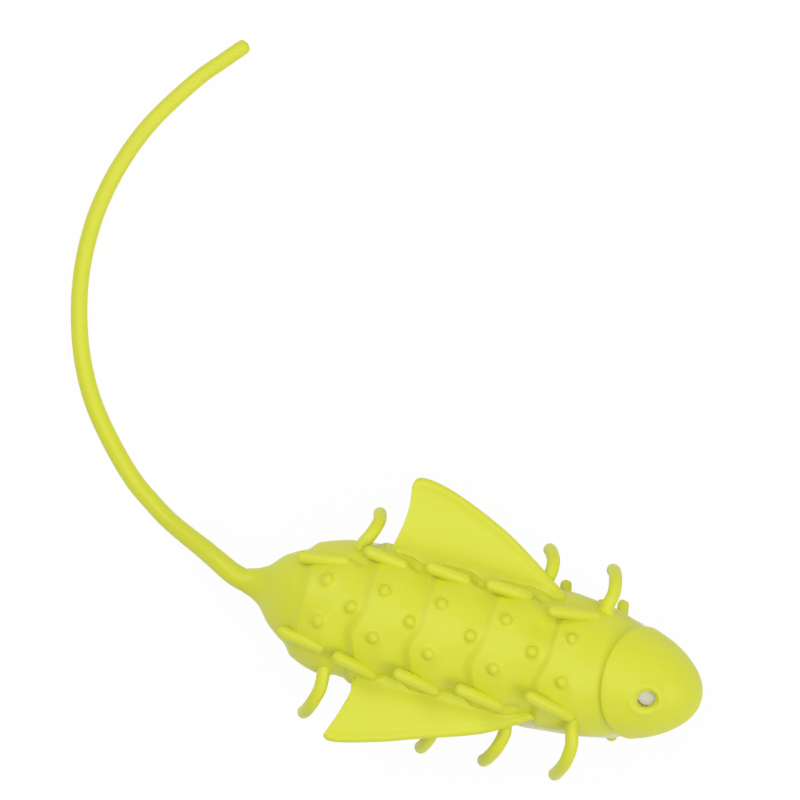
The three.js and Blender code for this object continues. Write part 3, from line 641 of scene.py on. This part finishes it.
@dataclass(frozen=True)
class RubberFinger:
    """A rubber finger: a pin with a round tip, swept along a smooth line."""

    radius: float
    tip: float
    flare: float = 0.5
    flare_run: float = 1.3
    round_root: bool = False
    up: tuple[float, float, float] = (1.0, 0.0, 0.0)
    rings: int = 48
    sides: int = 20

    def radius_at(self, run: Array) -> Array:
        """Radius along the run: a flared root, a slow taper and a round tip.

        radius + (tip - radius) t + flare exp(-(run / flare_run)^2), times the half circle sqrt(1 - q^2) over the last
        tip radius of the run, and over the first where the root is round too.

        Args:
            run: distance along the finger at each ring.

        Returns:
            The radius at each ring.
        """
        body = self.radius + (self.tip - self.radius) * run / run[-1] + self.flare * bell(run, self.flare_run)
        q = np.clip((run - (run[-1] - self.tip)) / self.tip, 0.0, 1.0)
        p = np.clip(1.0 - run / self.radius, 0.0, 1.0) if self.round_root else np.zeros_like(run)
        return body * np.sqrt(np.maximum((1.0 - q * q) * (1.0 - p * p), 0.0))

    def rings_along(self, points: Sequence[Sequence[float]]) -> Array:
        """Rings round the smooth line through points, closer together at the tip.

        Args:
            points: the points, three numbers each.

        Returns:
            The rings, of shape (rings, sides, 3).
        """
        line = through(points, 400)
        total = length_of(line)
        start = -math.pi / 2 if self.round_root else 0.0
        turn = np.sin(np.linspace(start, math.pi / 2, self.rings))
        run = total * (turn - turn[0]) / (1.0 - turn[0])
        at = np.column_stack([np.interp(run, np.linspace(0.0, total, len(line)), line[:, k]) for k in range(3)])
        return swept(at, self.radius_at(run), self.sides, self.up)


# The body skin

@dataclass
class BodySkin:
    """The ringed body, head and tail cone as one moulding with a real wall."""

    outline: Outline = Outline()
    wall: float = 1.8
    thinnest: float = 0.35
    groove: float = 1.0
    keel: float = 0.4
    keel_y: float = 0.8
    keel_width: float = 2.6
    ring_rise: float = 0.42
    seam_edge: float = 1.1
    ring_edge: float = 2.0
    wave_span: tuple[float, float] = (0.25, 0.85)
    wave_ramp: float = 0.05
    wave_lead: float = 0.45
    wave_lag: float = 1.5
    wave_y: float = -4.6
    wave_width: float = 3.2
    hole_x: float = 32.4
    hole_roll: float = math.radians(16)
    hole_radius: float = 1.6
    rim_radius: float = 2.5
    rim_rise: float = 0.35
    rim_width: float = 0.8
    dip: float = 1.0
    dip_inset: float = 0.6
    dip_run: float = 2.0
    tuck: float = 0.65
    tuck_span: tuple[float, float] = (9.0, 32.0)
    tuck_ramp: float = 4.0
    tuck_run: float = 3.0
    tuck_side: float = 8.0
    tuck_ease: float = 0.55
    tuck_ease_x: float = 19.5
    edge_height: float = 10.7
    edge_round: float = 0.4
    edge_run: float = 0.7
    seat_span: tuple[float, float] = (39.8, -34.8)
    seat_end: float = 10.5
    seat_half: float = 13.15
    seat_slack: float = 0.15
    seat_tuck_x: float = 27.6
    hollow_span: tuple[float, float] = (0.0365, 0.9155)
    hole_run: tuple[float, float] = (2.0, 14.0)
    pole_fade: float = 3.0
    gather: float = 2.0
    gather_width: float = 1.4
    rows: int = 400
    columns: int = 240
    hollow_rows: int = 90
    hollow_columns: int = 72
    seat_steps: int = 90
    seat_low: float = -3.0
    hole_sides: int = 64
    pits: tuple[Spot, ...] = (
        Spot(9.3, -10.8, 1.4, 0.9), Spot(-2.4, -11.1, 1.4, 0.9), Spot(-14.0, -11.2, 1.4, 0.9),
        Spot(-24.0, -10.4, 1.3, 0.8), Spot(9.5, 10.7, 1.3, 0.8), Spot(-2.0, 10.8, 1.3, 0.8),
        Spot(-13.6, 10.5, 1.3, 0.8), Spot(-23.8, 9.0, 1.2, 0.7), Spot(10.8, 5.2, 2.0, 0.4),
    )

    def wave(self, y: Array) -> Array:
        """How far forward of their plain places the rings' edges lie: lead - lag exp(-((y - wave_y) / width)^2)."""
        return self.wave_lead - self.wave_lag * bell(y - self.wave_y, self.wave_width)

    def rings(self, share: Array, y: Array) -> Array:
        """Height of the rings: each rises slowly from its front groove and rounds off at its rear edge.

        Between two grooves, with w from 0 to 1, the height is minus the depth times the larger of
        1 - smooth(w / rise) and the rear edge. The edge is smooth(q), or for the head 1 - sqrt(1 - q^2), where q runs
        from 0 to 1 over the last stretch before the rear groove. All of it is shallower along the middle.

        Args:
            share: share of the length behind the nose.
            y: distance from the middle, positive to the left.

        Returns:
            The height above the plain outline.
        """
        marks = np.array([0.0, *self.outline.grooves, 1.0])
        first, last = self.wave_span
        waves = (share > first) * (share < last)
        share = share + waves * self.wave(y) / self.outline.length
        ring = np.clip(np.searchsorted(marks, share, side="right") - 1, 0, len(marks) - 2)
        start, end = marks[ring], marks[ring + 1]
        w = (share - start) / (end - start)
        valley = 1.0 - self.keel * bell(y - self.keel_y, self.keel_width) * smooth((share - first) / self.wave_ramp)
        rise = np.where(ring == 0, 0.0, 1.0 - smooth(w / self.ring_rise))
        edge = np.where(ring == 0, self.seam_edge, self.ring_edge)
        q = np.clip(1.0 - (end - share) * self.outline.length / edge, 0.0, 1.0)
        fall = np.where(ring == 0, 1.0 - np.sqrt(1.0 - q * q), smooth(q)) * (ring < len(marks) - 2)
        return -self.groove * valley * np.maximum(rise, fall)

    def share_rows(self) -> Array:
        """Steps along the outline, each as long as 1 / (1 + gather * a bell at each groove).

        Returns:
            The rows' shares of the length.
        """
        curve = through(self.outline.shares, 4000)
        curve[:, 0] *= self.outline.length
        curve[:, 1] *= self.outline.radius
        step = np.linalg.norm(np.diff(curve, axis=0), axis=1)
        share = curve[:, 0] / self.outline.length
        near = sum(bell((share[1:] - g) * self.outline.length, self.gather_width) for g in self.outline.grooves)
        run = np.concatenate([[0.0], np.cumsum(step * (1.0 + self.gather * near))])
        return np.interp(np.linspace(0.0, run[-1], self.rows), run, share)

    def relief(self, share: Array, angle: Array) -> Array:
        """All relief on the outer side: rings, pits, the button's rim and dip, the tucked side and the lower edge.

        A pit is a bell of its depth and width, and the rim is a bell round the hole. The dip is
        dip (1 - smooth)^2 of the distance from the hole, the tuck is a window along x times a ramp to the right, and
        the lower edge rounds off by edge_round (1 - sqrt(1 - e^2)), where e grows to 1 over its last stretch.

        Args:
            share: share of the length behind the nose.
            angle: angle from the top, positive to the left.

        Returns:
            The height above the plain outline.
        """
        place = self.outline.place(share, angle)
        x, y, z = place[..., 0], place[..., 1], place[..., 2]
        height = self.rings(share, y)
        for pit in self.pits:
            distance = np.linalg.norm(place - self.outline.top(pit.x, pit.y), axis=-1)
            height = height - pit.depth * bell(distance, pit.width)
        height = np.maximum(height, self.thinnest - self.wall)
        across = self.from_hole(place)
        above = z > self.outline.axis
        height = height + above * self.rim_rise * bell(across - self.rim_radius, self.rim_width)
        into = 1.0 - smooth((across - self.hole_radius + self.dip_inset) / self.dip_run)
        height = height - above * self.dip * into**2
        rear, front = self.tuck_span
        window = smooth((x - rear) / self.tuck_ramp) * smooth((front - x) / self.tuck_ramp)
        window = window * (1.0 - self.tuck_ease * smooth((x - self.tuck_ease_x) / self.tuck_run))
        height = height - self.tuck * window * smooth((-y - self.tuck_side) / self.tuck_run)
        edge = 1.0 - np.clip((z - self.edge_height) / self.edge_run, 0.0, 1.0)
        return height - self.edge_round * (1.0 - np.sqrt(1.0 - np.minimum(edge, 0.98) ** 2))

    def from_hole(self, place: Array) -> Array:
        """Distance from the button hole's axis, which is turned about the body by hole_roll.

        Args:
            place: points, with the three coordinates last.

        Returns:
            Each point's distance from the axis.
        """
        roll = self.hole_roll
        y = place[..., 1] * math.cos(roll) + (place[..., 2] - self.outline.axis) * math.sin(roll)
        return np.hypot(place[..., 0] - self.hole_x, y)

    def outer(self) -> bpy.types.Object:
        """Makes the outer side as a closed solid, with the relief faded out at the poles.

        Returns:
            The solid.
        """
        share = self.share_rows()
        angle = np.arange(self.columns) * TAU / self.columns
        rows, angles = np.meshgrid(share, angle, indexing="ij")
        plain = self.outline.radius_at(rows)
        surface = Surface()
        rise = np.minimum(1.0, plain / self.pole_fade) * self.relief(rows, angles)
        surface.add_tube(self.outline.place(rows, angles, rise))
        return surface.made("skin_body", sharp=60.0)

    def inner(self) -> bpy.types.Object:
        """Makes the hollow that the capsule fills: the plain outline less the wall.

        Returns:
            The hollow.
        """
        share = np.linspace(*self.hollow_span, self.hollow_rows)
        angle = np.arange(self.hollow_columns) * TAU / self.hollow_columns
        rows, angles = np.meshgrid(share, angle, indexing="ij")
        surface = Surface()
        radius = np.maximum(self.outline.radius_at(rows) - self.wall, 0.0)
        height = self.outline.axis - self.outline.drop_at(rows)
        surface.add_tube(np.stack([self.outline.x(rows), radius * np.sin(angles), height + radius * np.cos(angles)],
                                  axis=-1))
        return surface.made("hollow")

    def below(self) -> bpy.types.Object:
        """Makes the seat of the lower shell's rim, from under the floor up to the skin's edge.

        Half its width at x is the outline's radius less a tuck that comes in under the head, and its ends are
        rounded: seat_half * sqrt(1 - q^2), where q runs from 0 to 1 over seat_end.

        Returns:
            The seat.
        """
        (front, rear), end = self.seat_span, self.seat_end
        q = np.sin(np.linspace(-math.pi / 2, math.pi / 2, self.seat_steps))
        x = (front + rear) / 2 + q * (front - rear) / 2
        tuck = smooth((x - self.seat_tuck_x) / self.tuck_run)
        past = np.maximum(np.maximum(x - front + end, rear + end - x), 0.0) / end
        half = np.minimum(self.outline.radius_at(self.outline.share(x)) + self.seat_slack - tuck,
                          self.seat_half * np.sqrt(np.maximum(1.0 - past**2, 0.0)))
        half = np.maximum(half, 0.0)[1:-1]
        loop = np.vstack([[[front, 0.0]], np.column_stack([x[1:-1], half])[::-1], [[rear, 0.0]],
                          np.column_stack([x[1:-1], -half])])
        surface = Surface()
        levels = (self.seat_low, self.edge_height)
        surface.add_tube(np.stack([np.column_stack([loop, np.full(len(loop), z)]) for z in levels]))
        return surface.made("below")

    def hole(self) -> bpy.types.Object:
        """Makes the round opening over the button.

        Returns:
            The opening.
        """
        axis = np.array([0.0, -math.sin(self.hole_roll), math.cos(self.hole_roll)])
        line = np.array([self.hole_x, 0.0, self.outline.axis]) + np.outer(self.hole_run, axis)
        surface = Surface()
        surface.add_tube(swept(line, np.full(2, self.hole_radius), self.hole_sides, (1.0, 0.0, 0.0)))
        return surface.made("hole")

    def build(self) -> bpy.types.Object:
        """Builds the skin's body: the outer side less the hollow, the rim's seat and the button's hole.

        Returns:
            The piece.
        """
        body = self.outer()
        for tool in (self.inner(), self.below(), self.hole()):
            carved(body, tool)
        tidy(body.data)
        finish_shading(body.data, 50.0)
        return body


# Bumps

@dataclass
class Bumps:
    """Fourteen small round bumps: a pair on every ring and one at the front of four of them."""

    skin: BodySkin = field(default_factory=BodySkin)
    places: tuple[tuple[float, float], ...] = (
        (16.9, 4.4), (17.0, -3.4), (4.5, 4.7), (4.5, -4.2), (-7.4, 4.5), (-7.4, -4.6), (-17.9, 4.2), (-17.8, -4.3),
        (-28.4, 3.5), (-28.2, -3.9), (10.4, 0.4), (-1.0, 0.35), (-12.1, 0.05), (-23.0, -0.1),
    )
    profile: tuple[tuple[float, float], ...] = (
        (0.0, 1.0), (0.35, 0.96), (0.7, 0.78), (0.95, 0.5), (1.15, 0.22), (1.4, 0.06), (1.8, -0.06), (1.9, -0.9),
    )
    rings: int = 28
    sides: int = 32

    def build(self) -> bpy.types.Object:
        """Builds each bump: its profile of reach and height, laid over the skin's own relief there.

        Returns:
            The piece.
        """
        surface = Surface()
        reach, height = through(self.profile, self.rings).T[..., None]
        turn = np.arange(self.sides) * TAU / self.sides
        outline = self.skin.outline
        for x, y in self.places:
            angles = outline.angle(x, y) + reach * np.sin(turn) / outline.radius_at(outline.share(x))
            shares = outline.row(x + reach * np.cos(turn), angles)
            surface.add_tube(outline.place(shares, angles, self.skin.relief(shares, angles) + height))
        return surface.made("bumps", sharp=60.0)


# Wings

@dataclass
class Wing:
    """One wing: a thin blade with a thick round bead along its outer edge."""

    name: str
    edge: tuple[tuple[float, float], ...]
    root: tuple[tuple[float, float], tuple[float, float]]
    bead: float = 0.8
    rear_bead: float = 0.45
    blade: float = 0.42
    height: float = 20.9
    droop: float = math.radians(4)
    dish: float = 0.4
    dish_run: float = 12.0
    side: float = 12.2
    root_end: float = 0.86
    root_ease: float = 0.6
    rear_start: float = 0.7
    rear_run: float = 0.12
    front_size: float = 0.55
    front_run: float = 0.1
    blade_run: float = 1.1
    fillet: float = 0.8
    fillet_run: float = 0.9
    fillet_reach: float = 10.0
    fillet_start: float = 0.3
    steps: int = 150
    bead_steps: int = 9
    blade_steps: int = 24
    blade_start: float = 0.03
    blade_gather: float = 1.2

    @classmethod
    def left(cls) -> "Wing":
        """The left wing."""
        return cls(
            "wing_left",
            ((15.4, 9.6), (14.76, 11.2), (8.9, 15.2), (1.1, 20.0), (-7.2, 23.7), (-13.0, 25.5), (-16.8, 25.7),
             (-17.9, 24.1), (-17.5, 20.9), (-17.7, 17.0), (-18.6, 12.4), (-19.6, 9.6)),
            ((14.0, 7.5), (-18.2, 7.5)),
        )

    @classmethod
    def right(cls) -> "Wing":
        """The right wing, which reaches farther back."""
        return cls(
            "wing_right",
            ((15.0, -9.2), (14.04, -10.9), (8.5, -14.4), (3.5, -16.8), (-5.1, -19.7), (-12.0, -22.1), (-19.5, -24.1),
             (-21.9, -23.7), (-21.4, -22.1), (-20.0, -19.5), (-19.1, -16.7), (-19.5, -13.1), (-20.4, -9.6)),
            ((14.0, -7.5), (-19.0, -7.5)),
        )

    def level(self, out: Array) -> Array:
        """Height of the blade's middle, out from the body's side: it droops, and is dished a little on its way."""
        dish = self.dish * np.sin(np.clip(out / self.dish_run, 0.0, 1.0) * math.pi)
        return self.height - out * math.tan(self.droop) - dish

    def build(self) -> bpy.types.Object:
        """Builds the wing.

        For each place t along the outer edge a profile runs in from the edge to the root line. Its half height at
        distance d is the bead's half circle sqrt(b^2 - (b - d)^2) for d < b, then falls from b to the blade's own,
        and rises again to a fillet where it enters the body. The bead is thin at the front root and along the rear.

        Returns:
            The piece.
        """
        edge = through(self.edge, self.steps)
        t = np.linspace(0.0, 1.0, self.steps)[:, None]
        front, rear = (np.array(corner) for corner in self.root)
        along = np.minimum(t / self.root_end, 1.0)
        root = front + (self.root_ease * smooth(along) + (1.0 - self.root_ease) * along) * (rear - front)
        reach = np.linalg.norm(root - edge, axis=1, keepdims=True)
        inward = (root - edge) / reach
        size = self.bead + (self.rear_bead - self.bead) * smooth((t - self.rear_start) / self.rear_run)
        size = size * (self.front_size + (1.0 - self.front_size) * smooth(t / self.front_run))
        curl = 1.0 - np.cos(np.linspace(0.0, math.pi / 2, self.bead_steps))
        past = np.linspace(self.blade_start, 1.0, self.blade_steps) ** self.blade_gather
        d = np.hstack([curl * size, size + (reach - size) * past])
        round_edge = np.sqrt(np.maximum(size**2 - (size - d) ** 2, 0.0))
        half = np.where(d <= size, round_edge, self.blade + (size - self.blade) * bell(d - size, self.blade_run))
        place = edge[:, None] + d[..., None] * inward[:, None]
        out = np.maximum(np.abs(place[..., 1]) - self.side, 0.0)
        wide = smooth(reach / self.fillet_reach - self.fillet_start)
        half = half + self.fillet * np.exp(-out / self.fillet_run) * (d > size) * wide
        middle = self.level(out)
        upper = np.concatenate([place, (middle + half)[..., None]], axis=-1)
        lower = np.concatenate([place, (middle - half)[..., None]], axis=-1)
        surface = Surface()
        surface.add_tube(np.concatenate([upper[:, ::-1], lower[:, 1:]], axis=1))
        return surface.made(self.name, sharp=60.0)


# Spines and side legs

@dataclass
class Spines:
    """Ten spines that lean back along the body's upper sides: root and tip in plan, and the tip's lift off the skin."""

    outline: Outline = Outline()
    finger: RubberFinger = RubberFinger(1.2, 1.15, 0.0, round_root=True, up=(0, 1, 0))
    sunk: float = 0.75
    bow: tuple[tuple[float, float], ...] = ((0.35, 0.5), (0.7, 0.45))
    lines: tuple[tuple[tuple[float, float], tuple[float, float], float], ...] = (
        ((20.5, 10.2), (11.2, 8.3), 3.3), ((8.2, 10.4), (-0.8, 10.2), 4.3), ((-3.4, 10.4), (-12.0, 10.5), 4.5),
        ((-15.0, 10.0), (-23.4, 10.5), 4.3), ((-25.0, 8.2), (-34.7, 6.3), 3.4),
        ((20.5, -9.6), (11.2, -7.2), 2.9), ((7.8, -11.1), (-1.2, -9.2), 3.8), ((-4.0, -11.3), (-12.6, -9.3), 3.8),
        ((-15.6, -11.4), (-23.9, -9.2), 3.7), ((-25.2, -9.2), (-34.7, -7.3), 3.0),
    )

    def build(self) -> bpy.types.Object:
        """Builds the spines: each leaves its ring low down and rises in a shallow bow until its tip stands clear.

        Returns:
            The piece.
        """
        surface = Surface()
        for (x, y), (tip_x, tip_y), lift in self.lines:
            root = self.outline.top(x, y, -self.sunk)
            tip = self.outline.top(tip_x, tip_y, lift)
            tip[:2] = tip_x, tip_y
            between = [root + share * (tip - root) + np.array([0.0, 0.0, rise]) for share, rise in self.bow]
            surface.add_tube(self.finger.rings_along([root, *between, tip]))
        return surface.made("spines")


@dataclass(frozen=True)
class LegLine:
    """One long leg in plan, from its root over its bend to its end, and its root's height above the axis."""

    root: tuple[float, float]
    bend: tuple[float, float]
    end: tuple[float, float]
    rise: float = 2.2


@dataclass
class SideLegs:
    """Ten long side legs that reach out and hang down."""

    outline: Outline = Outline()
    finger: RubberFinger = RubberFinger(1.2, 1.18, rings=56)
    tip_height: float = 7.7
    sunk: float = 1.6
    falls: tuple[float, float, float] = (0.02, 0.16, 0.5)
    lines: tuple[LegLine, ...] = (
        LegLine((21.5, 12.1), (22.3, 15.3), (20.8, 19.3), 5.1), LegLine((8.4, 12.4), (11.0, 15.2), (8.8, 20.0)),
        LegLine((-3.6, 12.6), (-2.6, 16.0), (-4.6, 19.8)), LegLine((-15.3, 12.6), (-14.3, 16.0), (-16.3, 19.6)),
        LegLine((-24.0, 11.0), (-21.8, 14.9), (-22.4, 18.4), 4.6),
        LegLine((20.5, -10.0), (22.2, -14.6), (20.0, -20.3), 6.4), LegLine((8.7, -12.4), (9.9, -15.6), (6.9, -21.2)),
        LegLine((-3.2, -12.6), (-2.4, -16.4), (-4.6, -21.8)), LegLine((-15.3, -12.6), (-15.0, -16.0), (-17.4, -20.0)),
        LegLine((-24.9, -11.2), (-24.5, -16.2), (-26.6, -21.0), 4.2),
    )

    def build(self) -> bpy.types.Object:
        """Builds the legs: out from the side, over a bend and down to a round tip.

        In plan a leg runs through weighted means of its root, bend and end, and its height is that of its top less
        each of falls times the whole fall.

        Returns:
            The piece.
        """
        surface = Surface()
        soon, halfway, late = self.falls
        for leg in self.lines:
            (x0, y0), (x1, y1), (x2, y2) = leg.root, leg.bend, leg.end
            side = math.copysign(1.0, y0)
            top = self.outline.axis + leg.rise
            fall = top - self.tip_height - self.finger.radius
            surface.add_tube(self.finger.rings_along([
                (x0, y0 - self.sunk * side, top - 1.0), (x0, y0, top),
                (0.4 * x0 + 0.6 * x1, y1 - 0.9 * side, top - soon * fall),
                (0.6 * x1 + 0.4 * x2, 0.6 * y1 + 0.4 * y2, top - halfway * fall),
                (0.25 * x1 + 0.75 * x2, 0.25 * y1 + 0.75 * y2, top - late * fall), (x2, y2 - 0.6 * side, top - fall),
            ]))
        return surface.made("side_legs")


# Short legs

@dataclass
class ShortLegs:
    """One rubber strip with its row of short driving legs."""

    side: float
    name: str
    outline: Outline = Outline()
    finger: RubberFinger = RubberFinger(1.1, 1.05, rings=28)
    front: float = 29.8
    rear: float = -27.3
    middle: float = 7.6
    width: float = 2.2
    low: float = 6.5
    thickness: float = 1.6
    first: float = 28.6
    pitch: float = 6.9
    bends: tuple[tuple[float, ...], ...] = (
        (0.4, 0.3), (2.6, -0.3), (2.6, -0.4), *((2.6, -0.5),) * 5, (2.6, -0.8),
    )
    ends: tuple[tuple[float, float], ...] = ((0.0, 0.55), (0.05, 0.75), (0.2, 0.9), (0.5, 0.98), (1.0, 1.0))
    square: float = 0.45
    corners: int = 24
    clearance: float = 0.02
    root_rise: float = 0.6
    route: tuple[tuple[float, ...], ...] = (
        (0.1, 0.4, 0.5, 0.0, 5.3), (0.35, 0.5, 0.0, 0.35, 2.9), (0.9, 0.1, -0.9, 1.0, 0.75),
        (1.0, 0.0, -0.2, 1.0, 0.55),
    )

    @classmethod
    def left(cls) -> "ShortLegs":
        """The left strip, whose front legs are bent out past the body."""
        return cls(1.0, "short_legs_left", bends=(
            (4.3, 2.5, 1.0), (1.2, 1.1), (1.6, 2.2), (2.6, -0.4), *((2.6, -0.5),) * 3, (0.6, 0.2), (2.6, -0.8),
        ))

    @classmethod
    def right(cls) -> "ShortLegs":
        """The right strip."""
        return cls(-1.0, "short_legs_right")

    def strip(self) -> Array:
        """Rings of the strip: a loop |cos|^square, |sin|^square that draws in over its ends' last millimetre.

        Returns:
            The rings.
        """
        corner = np.linspace(0.0, TAU, self.corners, endpoint=False)
        loop = np.column_stack([np.cos(corner), np.sin(corner)])
        loop = np.sign(loop) * np.abs(loop) ** self.square * (self.width / 2, self.thickness / 2)
        near, small = np.array(self.ends).T
        run = np.concatenate([near, self.front - self.rear - near[::-1]])
        size = np.concatenate([small, small[::-1]])
        rings = np.empty((len(run), len(loop), 3))
        rings[..., 0] = self.rear + run[:, None]
        rings[..., 1] = self.side * (self.middle + loop[:, 0] * size[:, None])
        rings[..., 2] = self.low + self.thickness / 2 + loop[:, 1] * size[:, None]
        return rings

    def leg(self, x: float, lean: float, proud: float, early: float = 0.0) -> Array:
        """Rings of one leg, bent out and back and pressed flat on the floor.

        Each place on its route has a share of the lean, what early adds to that share, its distance out from the
        strip in millimetres and as a part of the whole spread, and its height.

        Args:
            x: place of its root.
            lean: how far back its tip lies.
            proud: how far past the body's outline its tip lies.
            early: from 0, a leg that leans evenly, to 1, one that has leaned back before it comes out.

        Returns:
            The rings.
        """
        spread = float(self.outline.radius_at(self.outline.share(x - lean))) + proud - self.middle
        points = [(x, self.side * self.middle, self.low + self.root_rise)]
        points += [(x - (share + more * early) * lean, self.side * (self.middle + out + part * spread), height)
                   for share, more, out, part, height in self.route]
        rings = self.finger.rings_along(points)
        rings[..., 2] = np.maximum(rings[..., 2], self.clearance)
        return rings

    def build(self) -> bpy.types.Object:
        """Builds the strip and its legs.

        Returns:
            The piece.
        """
        surface = Surface()
        surface.add_tube(self.strip())
        for leg, bend in enumerate(self.bends):
            surface.add_tube(self.leg(self.first - leg * self.pitch, *bend))
        return surface.made(self.name)


# Tail

@dataclass
class Tail:
    """The long tail: a free length of soft rubber that leaves the cone, sinks to the floor and curls round."""

    radius: float = 1.5
    root: float = 2.1
    swell_end: float = 10.0
    swell_power: float = 1.2
    thick: float = 0.12
    thick_span: tuple[float, float] = (12.0, 70.0)
    thick_fade: float = 30.0
    taper: float = 0.12
    taper_start: float = 80.0
    clearance: float = 0.02
    steps: int = 420
    sides: int = 28
    start: tuple[float, float, float] = (-41.6, 0.0, 13.13)
    route: tuple[tuple[float, float, float], ...] = (
        (-43.15, 0, 13), (-45.5, 0.7, 12.85), (-48.4, 2.1, 11.5), (-51.5, 3.6, 9.3), (-54.7, 5.0, 7),
        (-58.9, 7, 4.4), (-62.9, 9.5, 2.7), (-67.3, 12.7, 1.8), (-72.8, 18.2, 1.7), (-77.7, 24.3, 1.7),
        (-81.3, 30.8, 1.65), (-83.8, 37.6, 1.6), (-85.4, 44.6, 1.6), (-86.0, 51.8, 1.6), (-85.55, 59.4, 1.6),
        (-83.7, 67.6, 1.6), (-80.3, 76.0, 1.6), (-74.65, 85.05, 1.6), (-70.75, 89.8, 1.6), (-67.1, 94.05, 1.6),
    )

    def build(self) -> bpy.types.Object:
        """Builds the tail: a tube along its route that starts inside the cone, narrows past it and ends round.

        Its radius is radius + (root - radius) exp(-(run / swell_end)^swell_power), a little thicker along thick_span
        and a little thinner from taper_start on, times sqrt(1 - q^3), where q runs from 0 to 1 over the round end.

        Returns:
            The piece.
        """
        line = through((self.start, *self.route), self.steps)
        total = length_of(line)
        run = np.linspace(0.0, total, len(line))
        size = self.radius + (self.root - self.radius) * np.exp(-((run / self.swell_end) ** self.swell_power))
        full, gone = self.thick_span
        size = size + self.thick * smooth(run / full) * smooth((gone - run) / self.thick_fade)
        size = size - self.taper * smooth((run - self.taper_start) / (total - self.taper_start))
        size = size * (1.0 - np.clip(1.0 - (total - run) / self.radius, 0.0, 1.0) ** 3) ** 0.5
        line[:, 2] = np.maximum(line[:, 2], size + self.clearance)
        surface = Surface()
        surface.add_tube(swept(line, size, self.sides, (0.0, 0.0, 1.0)))
        piece = surface.made("tail_cord")
        return piece


def report(piece: bpy.types.Object, nodes: Sequence[str], slot: Slot, wardrobe: Wardrobe) -> None:
    """Dresses a finished piece, sets it on the body and logs it.

    Args:
        piece: the piece.
        nodes: the solids that it stands for.
        slot: its finish.
        wardrobe: the finishes.
    """
    wardrobe.dress(piece, slot)
    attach(piece, "body")
    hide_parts(*nodes)
    LOG.info("%s: %d faces", piece.name, len(piece.data.polygons))


def main() -> None:
    """Builds the toy, piece by piece."""
    logging.basicConfig(level=logging.INFO, format="%(message)s")
    bpy.context.scene.view_settings.view_transform = "Standard"
    studio = Studio()
    studio.camera()
    wardrobe = Wardrobe()
    report(Tail().build(), ["tail"], Slot.SKIN, wardrobe)
    studio.lights()
    studio.floor()
    for part in (BodySkin(), Bumps(), Wing.left(), Wing.right(), Spines(), SideLegs()):
        report(part.build(), ["skin"], Slot.SKIN, wardrobe)
    report(ShortLegs.left().build(), ["leg_strip_left"], Slot.SKIN, wardrobe)
    report(ShortLegs.right().build(), ["leg_strip_right"], Slot.SKIN, wardrobe)
    wardrobe.dress_kept({"skin", "tail", "leg_strip_left", "leg_strip_right"})


if __name__ == "__main__":
    main()
